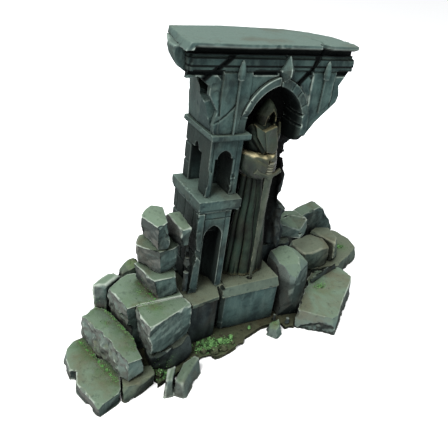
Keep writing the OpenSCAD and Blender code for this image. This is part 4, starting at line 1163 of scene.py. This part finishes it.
def plate(outline, y0, y1):
    """A flat plate seen from the front, its outline in X and Z."""
    bm = bmesh.new()
    f = bm.faces.new([bm.verts.new((x, y0, z)) for x, z in outline])
    for v in bmesh.ops.extrude_face_region(bm, geom=[f])["geom"]:
        if isinstance(v, bmesh.types.BMVert):
            v.co.y = y1
    bmesh.ops.recalc_face_normals(bm, faces=bm.faces)
    return baked(bm, "plate")


def sculpted(node, me, vx, rounds, slot, shape=None, grain=0.04):
    """A remeshed and smoothed piece of the figure, with its own folds and a fine grain."""
    me = voxel(me, vx * COARSER)
    smooth(me, rounds)
    co, no = get_co(me), get_no(me)
    if shape:
        shape(co, no)
        set_co(me, co)
        no = get_no(me)
    co -= no * (grain * (0.5 + 0.5 * fbm(co, 1.6, 21)))[:, None]
    set_co(me, co)
    finish_piece(node, "_sculpt", me, slot)


def cloth_folds(co, no, lines, depth, width):
    """Soft drag folds along given lines."""
    for line in lines:
        (p, q), = legs(line)
        s, r = near_segment(co, p, q)
        d = np.sqrt((r * r).sum(1)) / width
        along = np.sin(np.clip(s / np.linalg.norm(q - p), 0.02, 0.98) * np.pi) ** 0.5
        co -= no * (depth * np.exp(-d * d) * along)[:, None]


def rings_of(rows, cx, cy, **kw):
    """A closed mesh from elliptic rings, each a height and its two radii."""
    return grid_mesh([ring_at(z, rx, ry, cx, cy, **kw) for z, rx, ry in rows])


def statue():
    me = robe()
    smooth(me, 1)
    finish_piece("statue_robe", "_sculpt", me, "robe")

    body = grid_mesh([ring_at(z, rx, ry, cx, 8.0) for z, rx, ry, cx in (
        (59.2, 5.2, 3.9, 22.6), (62, 5.5, 4.2, 22.5), (65, 5.6, 4.2, 22.5), (67.4, 5.2, 3.9, 22.6))])
    left = tube([(16.7, 8.2, 65.2), (17.3, 5.6, 64.6), (19.6, 3.4, 63.6), (23.3, 2.6, 62.9)],
                [(1.6, 2.6), (2.2, 3.8), (2.3, 4.1), (1.9, 4.0)], end_in=1.0)
    right = tube([(27.6, 8.4, 65.4), (27.4, 5.8, 64.8), (26.2, 3.9, 63.8), (23.9, 2.8, 63.2)],
                 [(1.3, 2.6), (1.6, 3.6), (1.9, 3.9), (1.9, 3.8)], end_in=1.0)

    def sleeve_folds(co, no):
        cloth_folds(co, no, [((16.3, 4.8, 66.6), (22.6, 0.6, 62.0)), ((16.2, 4.8, 64.4), (21.0, 1.0, 60.4)),
                             ((28.6, 4.6, 66.8), (25.0, 0.9, 62.0)), ((19.0, 1.6, 67.0), (22.8, 0.8, 64.6)),
                             ((28.2, 3.0, 63.4), (25.5, 1.0, 60.6))], 0.35, 0.5)
        groove(co, no, [(23.55, 0.4, 67.6), (23.5, 0.3, 63.0), (23.7, 0.6, 58.8)], 0.45, 0.8, 5)
    sculpted("statue_sleeves", join(body, left, right), 0.19, 2, "robe_trim", sleeve_folds)

    torso = grid_mesh([ring_at(z, rx, ry, cx, cy, power=pw) for z, rx, ry, cx, cy, pw in (
        (67.3, 4.6, 3.5, 22.7, 8.0, 2.0), (69.5, 4.8, 3.8, 22.8, 7.9, 2.1), (72.5, 5.5, 4.0, 22.9, 7.8, 2.3),
        (74.8, 5.6, 3.7, 23.0, 7.9, 2.4), (76.1, 4.7, 3.2, 23.0, 8.0, 2.2), (77.0, 3.0, 2.6, 23.1, 7.8, 2.0))])
    mantle = [tube([(17.6, 6.6, 76.2), (19.4, 4.6, 73.2), (22.6, 3.9, 67.6)], [(0.5, 0.9), (0.7, 1.5), (0.6, 0.9)]),
              tube([(28.6, 6.8, 76.4), (27.6, 4.8, 73.4), (25.8, 4.0, 67.8)], [(0.5, 0.9), (0.7, 1.4), (0.6, 0.9)])]

    def torso_folds(co, no):
        cloth_folds(co, no, [((18.6, 4.2, 74.6), (22.0, 3.4, 68.2)), ((17.8, 6.0, 71.6), (20.8, 3.6, 67.8)),
                             ((29.8, 5.2, 74.4), (27.2, 3.6, 68.2)), ((30.6, 6.6, 71.4), (28.6, 4.4, 67.8))],
                    0.45, 0.45)
    sculpted("statue_torso", join(torso, *mantle), 0.19, 3, "robe", torso_folds)

    lapels = join(
        plate([(21.2, 75.0), (25.4, 76.6), (26.8, 69.6), (26.3, 68.2), (25.3, 67.6), (22.9, 68.1)], 2.5, 4.6),
        plate([(18.0, 77.0), (21.0, 75.0), (22.7, 68.2), (21.2, 70.2), (19.0, 73.4)], 3.0, 4.8))

    def lapel_rim(co, no):
        x, y, z = co.T
        d = np.hypot((x - 24.2) / 1.7, (z - 72.0) / 3.6)
        co[:, 1] += np.where((y < 3.6) & (x > 21.4), 0.35 * unit(1 - d * d), 0)
        co[:, 1] += 0.5 * unit((z - 70) / 7)
    sculpted("statue_collar", lapels, 0.15, 2, "robe_trim", lapel_rim, 0.02)

    me, _ = cad_mesh("statue_hood")

    def hood_shape(co, no):
        # a ridge over the crown, creases falling from it, and a rolled rim round the opening
        up = unit((co[:, 2] - 77) / 7)
        side = np.abs(co[:, 0] - 24.1) / 3.6
        co[:, 2] += 0.25 * unit(1 - side) * up
        cloth_folds(co, no, [((20.6, 6.0, 77.2), (22.4, 4.4, 83.0)), ((21.4, 9.6, 77.4), (23.0, 6.6, 83.0)),
                             ((27.8, 6.2, 77.4), (25.8, 4.8, 82.6)), ((27.2, 9.6, 77.4), (25.0, 6.8, 83.0))], 0.4, 0.6)
        co[:, 0] = 23.0 + (co[:, 0] - 24.2) * 0.86
        x, z = (co[:, 0] - 23.0) / 0.86, co[:, 2] - 76.6
        w = 1.95 * unit(1 - np.clip(z - 1.6, 0, 9) / 3.6) ** 0.75
        rim = np.abs(np.abs(x) - w) + np.clip(z - 5.3, 0, 9)
        front = (no[:, 1] < -0.2) & (co[:, 1] < 5.2)
        co[:, 1] -= np.where(front, 0.35 * np.exp(-(rim / 0.55) ** 2), 0)
        co[:, 2] = np.minimum(co[:, 2], 84.6)
    sculpted("statue_hood", me, 0.15, 3, "robe", hood_shape)

    # a calm, plain face of ordinary proportions: brow, nose, closed lids, lips and chin as soft swellings
    head = grid_mesh([ring_at(z, rx, ry, 23.0, cy, n=72) for z, rx, ry, cy in (
        (76.4, 0.9, 1.0, 7.2), (76.9, 1.15, 1.35, 7.0), (77.6, 1.45, 1.75, 6.9), (78.6, 1.65, 1.95, 6.9),
        (79.6, 1.7, 2.0, 6.95), (80.6, 1.5, 1.8, 7.05), (81.3, 1.0, 1.2, 7.1), (81.6, 0.4, 0.5, 7.1))])
    neck = rings_of([(z, 0.9, 0.9) for z in (74.8, 75.8, 76.9)], 23.0, 7.3, n=48)

    def face(co, no):
        def swell(x, z, sx, sz, amount):
            q = ((co[:, 0] - 23.0 - x) / sx) ** 2 + ((co[:, 2] - z) / sz) ** 2
            co[:, 1] -= np.where(co[:, 1] < 6.9, amount * np.exp(-q), 0)
        swell(0, 79.75, 1.1, 0.22, 0.16)
        swell(0, 78.85, 0.2, 0.5, 0.42)
        for s in (-1, 1):
            swell(0.62 * s, 79.2, 0.42, 0.3, -0.28)
            swell(0.62 * s, 79.2, 0.3, 0.13, 0.14)
        swell(0, 78.0, 0.42, 0.1, 0.16)
        swell(0, 77.8, 0.34, 0.1, 0.14)
        swell(0, 77.1, 0.45, 0.3, 0.22)
    sculpted("statue_head", join(head, neck), 0.1, 2, "skin", face, 0.01)

    # two hands folded on the grip, fingers as a row of ridges
    fist = rings_of([(61.3, 1.1, 1.0), (61.7, 1.5, 1.3), (63.2, 1.75, 1.5), (64.6, 1.6, 1.3), (65.2, 1.0, 0.9)],
                    24.2, 2.4, n=64, power=3.0)
    fingers = [tube([(22.4, 2.6, 64.6 - 0.95 * i), (23.3, 1.2, 64.4 - 0.95 * i), (24.7, 0.95, 64.3 - 0.95 * i),
                     (25.9, 1.7, 64.5 - 0.95 * i)], [(0.42, 0.42), (0.46, 0.46), (0.46, 0.46), (0.36, 0.36)],
                    power=2.0, n=24, steps=20) for i in range(4)]
    thumb = tube([(25.7, 1.6, 65.0), (24.7, 0.8, 65.1), (23.7, 0.9, 64.9)],
                 [(0.4, 0.4), (0.45, 0.45), (0.36, 0.36)], power=2.0, n=24, steps=16)
    sculpted("statue_hands", join(fist, thumb, *fingers), 0.12, 1, "sword")
    guard()
    blade()


def guard():
    """A bowed crossguard with swollen ends and a block in the middle."""
    bar = tube([(18.9, 1.3, 62.7), (20.6, 1.2, 61.6), (22.8, 1.1, 60.9), (24.6, 1.1, 60.8), (26.4, 1.2, 61.2),
                (28.5, 1.4, 62.3)], [(0.6, 0.95), (0.55, 0.7), (0.6, 0.65), (0.6, 0.65), (0.55, 0.65), (0.55, 0.8)],
               power=3.5, n=40, steps=60)
    block = rings_of([(59.5, 0.9, 0.85), (59.9, 1.35, 0.85), (61.1, 1.35, 0.85), (61.6, 0.8, 0.85)],
                     24.5, 1.4, n=48, power=3.5)
    sculpted("sword_guard", join(bar, block), 0.12, 1, "sword")


def blade():
    """A broad blade of diamond section, point down on the cap, leaning on the robe."""
    stops = [(19.5, 24.7, 1.5, 0.18, 0.12), (20.4, 24.7, 1.5, 0.5, 0.3), (24, 24.75, 1.52, 0.72, 0.42),
             (46, 24.6, 1.5, 1.2, 0.55), (60.2, 24.5, 1.4, 1.5, 0.62)]
    low, high, steps = 19.5, 60.2, 120
    section = [(-1, 0), (-0.9, -0.3), (-0.45, -0.72), (-0.12, -1), (0.12, -1), (0.45, -0.72),
               (0.9, -0.3), (1, 0), (0.5, 0.6), (0, 1), (-0.5, 0.6)]
    rings = []
    for i in range(steps + 1):
        z = low + i * (high - low) / steps
        x, y, w, t = (np.interp(z, [s[0] for s in stops], [s[k] for s in stops]) for k in (1, 2, 3, 4))
        w *= 1 + 0.05 * math.sin(z * 1.7) * math.sin(z * 0.63)
        rings.append([(x + a * w, y + b * t, z) for a, b in section])
    finish_piece("sword_blade", "_sculpt", voxel(grid_mesh(rings), 0.13), "sword")

statue()
for n in sorted(frame["nodes"]):
    if not n.startswith(("statue", "sword")):
        stone_piece(n)

# ------------------------------------------------------------------ moss


def moss_flock():
    """Grains of flock strewn along the joints and over the damp spots, each one lying on the stone under it."""
    rng = np.random.default_rng(77)
    trees = []
    for n in ("step_slab_1", "step_block_2", "step_block_3_rear", "step_block_3_middle", "step_block_3_front",
              "step_footing_left", "step_footing_front", "boulder_mossy_left", "wall_stub_bottom", "ground_base",
              "ground_pebbles", "moss_clumps", "paving_slab_front", "paving_slab_rear", "rubble_chips_right",
              "boulder_front_right", "plinth_wall", "pedestal_block", "loose_stone_front"):
        me = bpy.data.objects[n + "_finish"].data
        trees.append(BVHTree.FromPolygons(get_co(me).tolist(), [tuple(q.vertices) for q in me.polygons]))
    grains = []

    def strew(at, least, more):
        grains.extend(zip(at, least + more * rng.uniform(size=len(at))))

    for line, k in zip(MOSS_LINES, (72, 60, 12, 60)):
        for p, q in legs(line):
            m = int(k * np.linalg.norm(q - p) / 6)
            t = rng.uniform(size=m)
            strew(p + t[:, None] * (q - p) + rng.normal(size=(m, 3)) * [0.55, 0.55, 0], 0.26, 0.16)
            rng.uniform(size=m)  # spare draws: without them every later grain would move
    for c, r in MOSS_SPOTS:
        strew(np.array(c) + rng.normal(size=(int(11 * r), 3)) * [0.42 * r, 0.42 * r, 0], 0.22, 0.16)
    for c, r, m in (((6.5, -7.2, 3), 2.8, 300), ((12.4, -7.4, 3), 1.6, 110), ((3.0, -8.6, 3), 1.2, 90),
                    ((-13.0, -14.6, 3), 1.5, 90), ((62.0, 4.0, 6), 1.3, 60), ((90.5, 27.0, 6), 1.2, 50)):
        strew(np.array(c) + rng.normal(size=(m, 3)) * [r, 0.55 * r, 0], 0.4, 0.4)

    corners = np.array([(1, 0, 0), (-1, 0, 0), (0, 0.8, 0), (0, -0.8, 0), (0, 0, 1.1), (0, 0, -0.6)])
    sides = ((0, 2, 4), (2, 1, 4), (1, 3, 4), (3, 0, 4), (2, 0, 5), (1, 2, 5), (3, 1, 5), (0, 3, 5))
    verts, faces = [], []
    for (x, y, z), size in grains:
        above = Vector(((x - CENTRE[0]) * MM, (y - CENTRE[1]) * MM, min(z + 4.0, 60) * MM))
        hits = [tree.ray_cast(above, Vector((0, 0, -1)))[0] for tree in trees]
        best = max((hit for hit in hits if hit is not None), key=lambda hit: hit.z, default=None)
        if best is None or best.z * 1000 < 0.8:  # nothing lies on the table itself
            continue
        c = np.array(best) * 1000
        rot = np.array(Matrix.Rotation(rng.uniform(0, 6.28), 3, Vector(rng.normal(size=3)).normalized()))
        grain = (corners * (size * 0.5)) @ rot.T * rng.uniform(0.7, 1.2, size=(6, 1)) + c + [0, 0, 0.12 * size]
        faces += [(len(verts) + i, len(verts) + j, len(verts) + k) for i, j, k in sides]
        verts += grain.tolist()
    me = from_lists("flock", (np.clip(verts, BOX_LO - CENTRE, BOX_HI - CENTRE) * MM).tolist(), faces)
    me.materials.append(MATS["moss"])
    ob = add_object("moss_flock", me)
    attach(ob, BODY)


moss_flock()

# ------------------------------------------------------------------ floor, light, camera


def floor():
    s, z = 8, -0.00002
    me = from_lists("floor", [(-s, -s, z), (s, -s, z), (s, s, z), (-s, s, z)], [(0, 1, 2, 3)])
    me.materials.append(Nodes("floor_paper").surface((0.93, 0.94, 0.95, 1), 0.9, 0.0))
    add_object("floor", me)


def lamp(name, where, aim, size, power, colour):
    d = bpy.data.lights.new(name, "AREA")
    d.shape = "DISK"
    d.size = size
    d.energy = power
    d.color = colour
    ob = add_object(name, d)
    ob.location = where
    ob.rotation_mode = "QUATERNION"
    ob.rotation_quaternion = (Vector(aim) - Vector(where)).to_track_quat("-Z", "Y")


def camera():
    turn, pitch, roll = math.radians(31.8), math.radians(29.31), math.radians(-8.55)
    fw = Vector((math.sin(turn) * math.cos(pitch), math.cos(turn) * math.cos(pitch), -math.sin(pitch)))
    right = fw.cross(Vector((0, 0, 1))).normalized()
    down = fw.cross(right)
    x = right * math.cos(roll) + down * math.sin(roll)
    y = right * math.sin(roll) - down * math.cos(roll)
    m = Matrix((x, y, -fw)).transposed().to_4x4()
    m.translation = Vector((-67.7 - CENTRE[0], -124.6 - CENTRE[1], 128.4)) * MM
    d = bpy.data.cameras.new("camera")
    d.sensor_width = 36
    d.lens = 42.37
    d.clip_start = 0.005
    d.clip_end = 40
    ob = add_object("camera", d)
    ob.matrix_world = m
    bpy.context.scene.camera = ob


floor()
world = bpy.data.worlds.new("studio")
world.use_nodes = True
background = world.node_tree.nodes["Background"].inputs
background[0].default_value = (1.0, 1.0, 1.0, 1)
background[1].default_value = 1.0
bpy.context.scene.world = world
lamp("key", (-0.42, -0.20, 0.62), (0, 0, 0.04), 0.35, 7.0, (1.0, 0.99, 0.96))
lamp("rim", (0.30, 0.45, 0.55), (0, 0, 0.05), 0.4, 2.5, (0.92, 0.96, 1.0))
camera()
bpy.context.scene.view_settings.view_transform = "Standard"
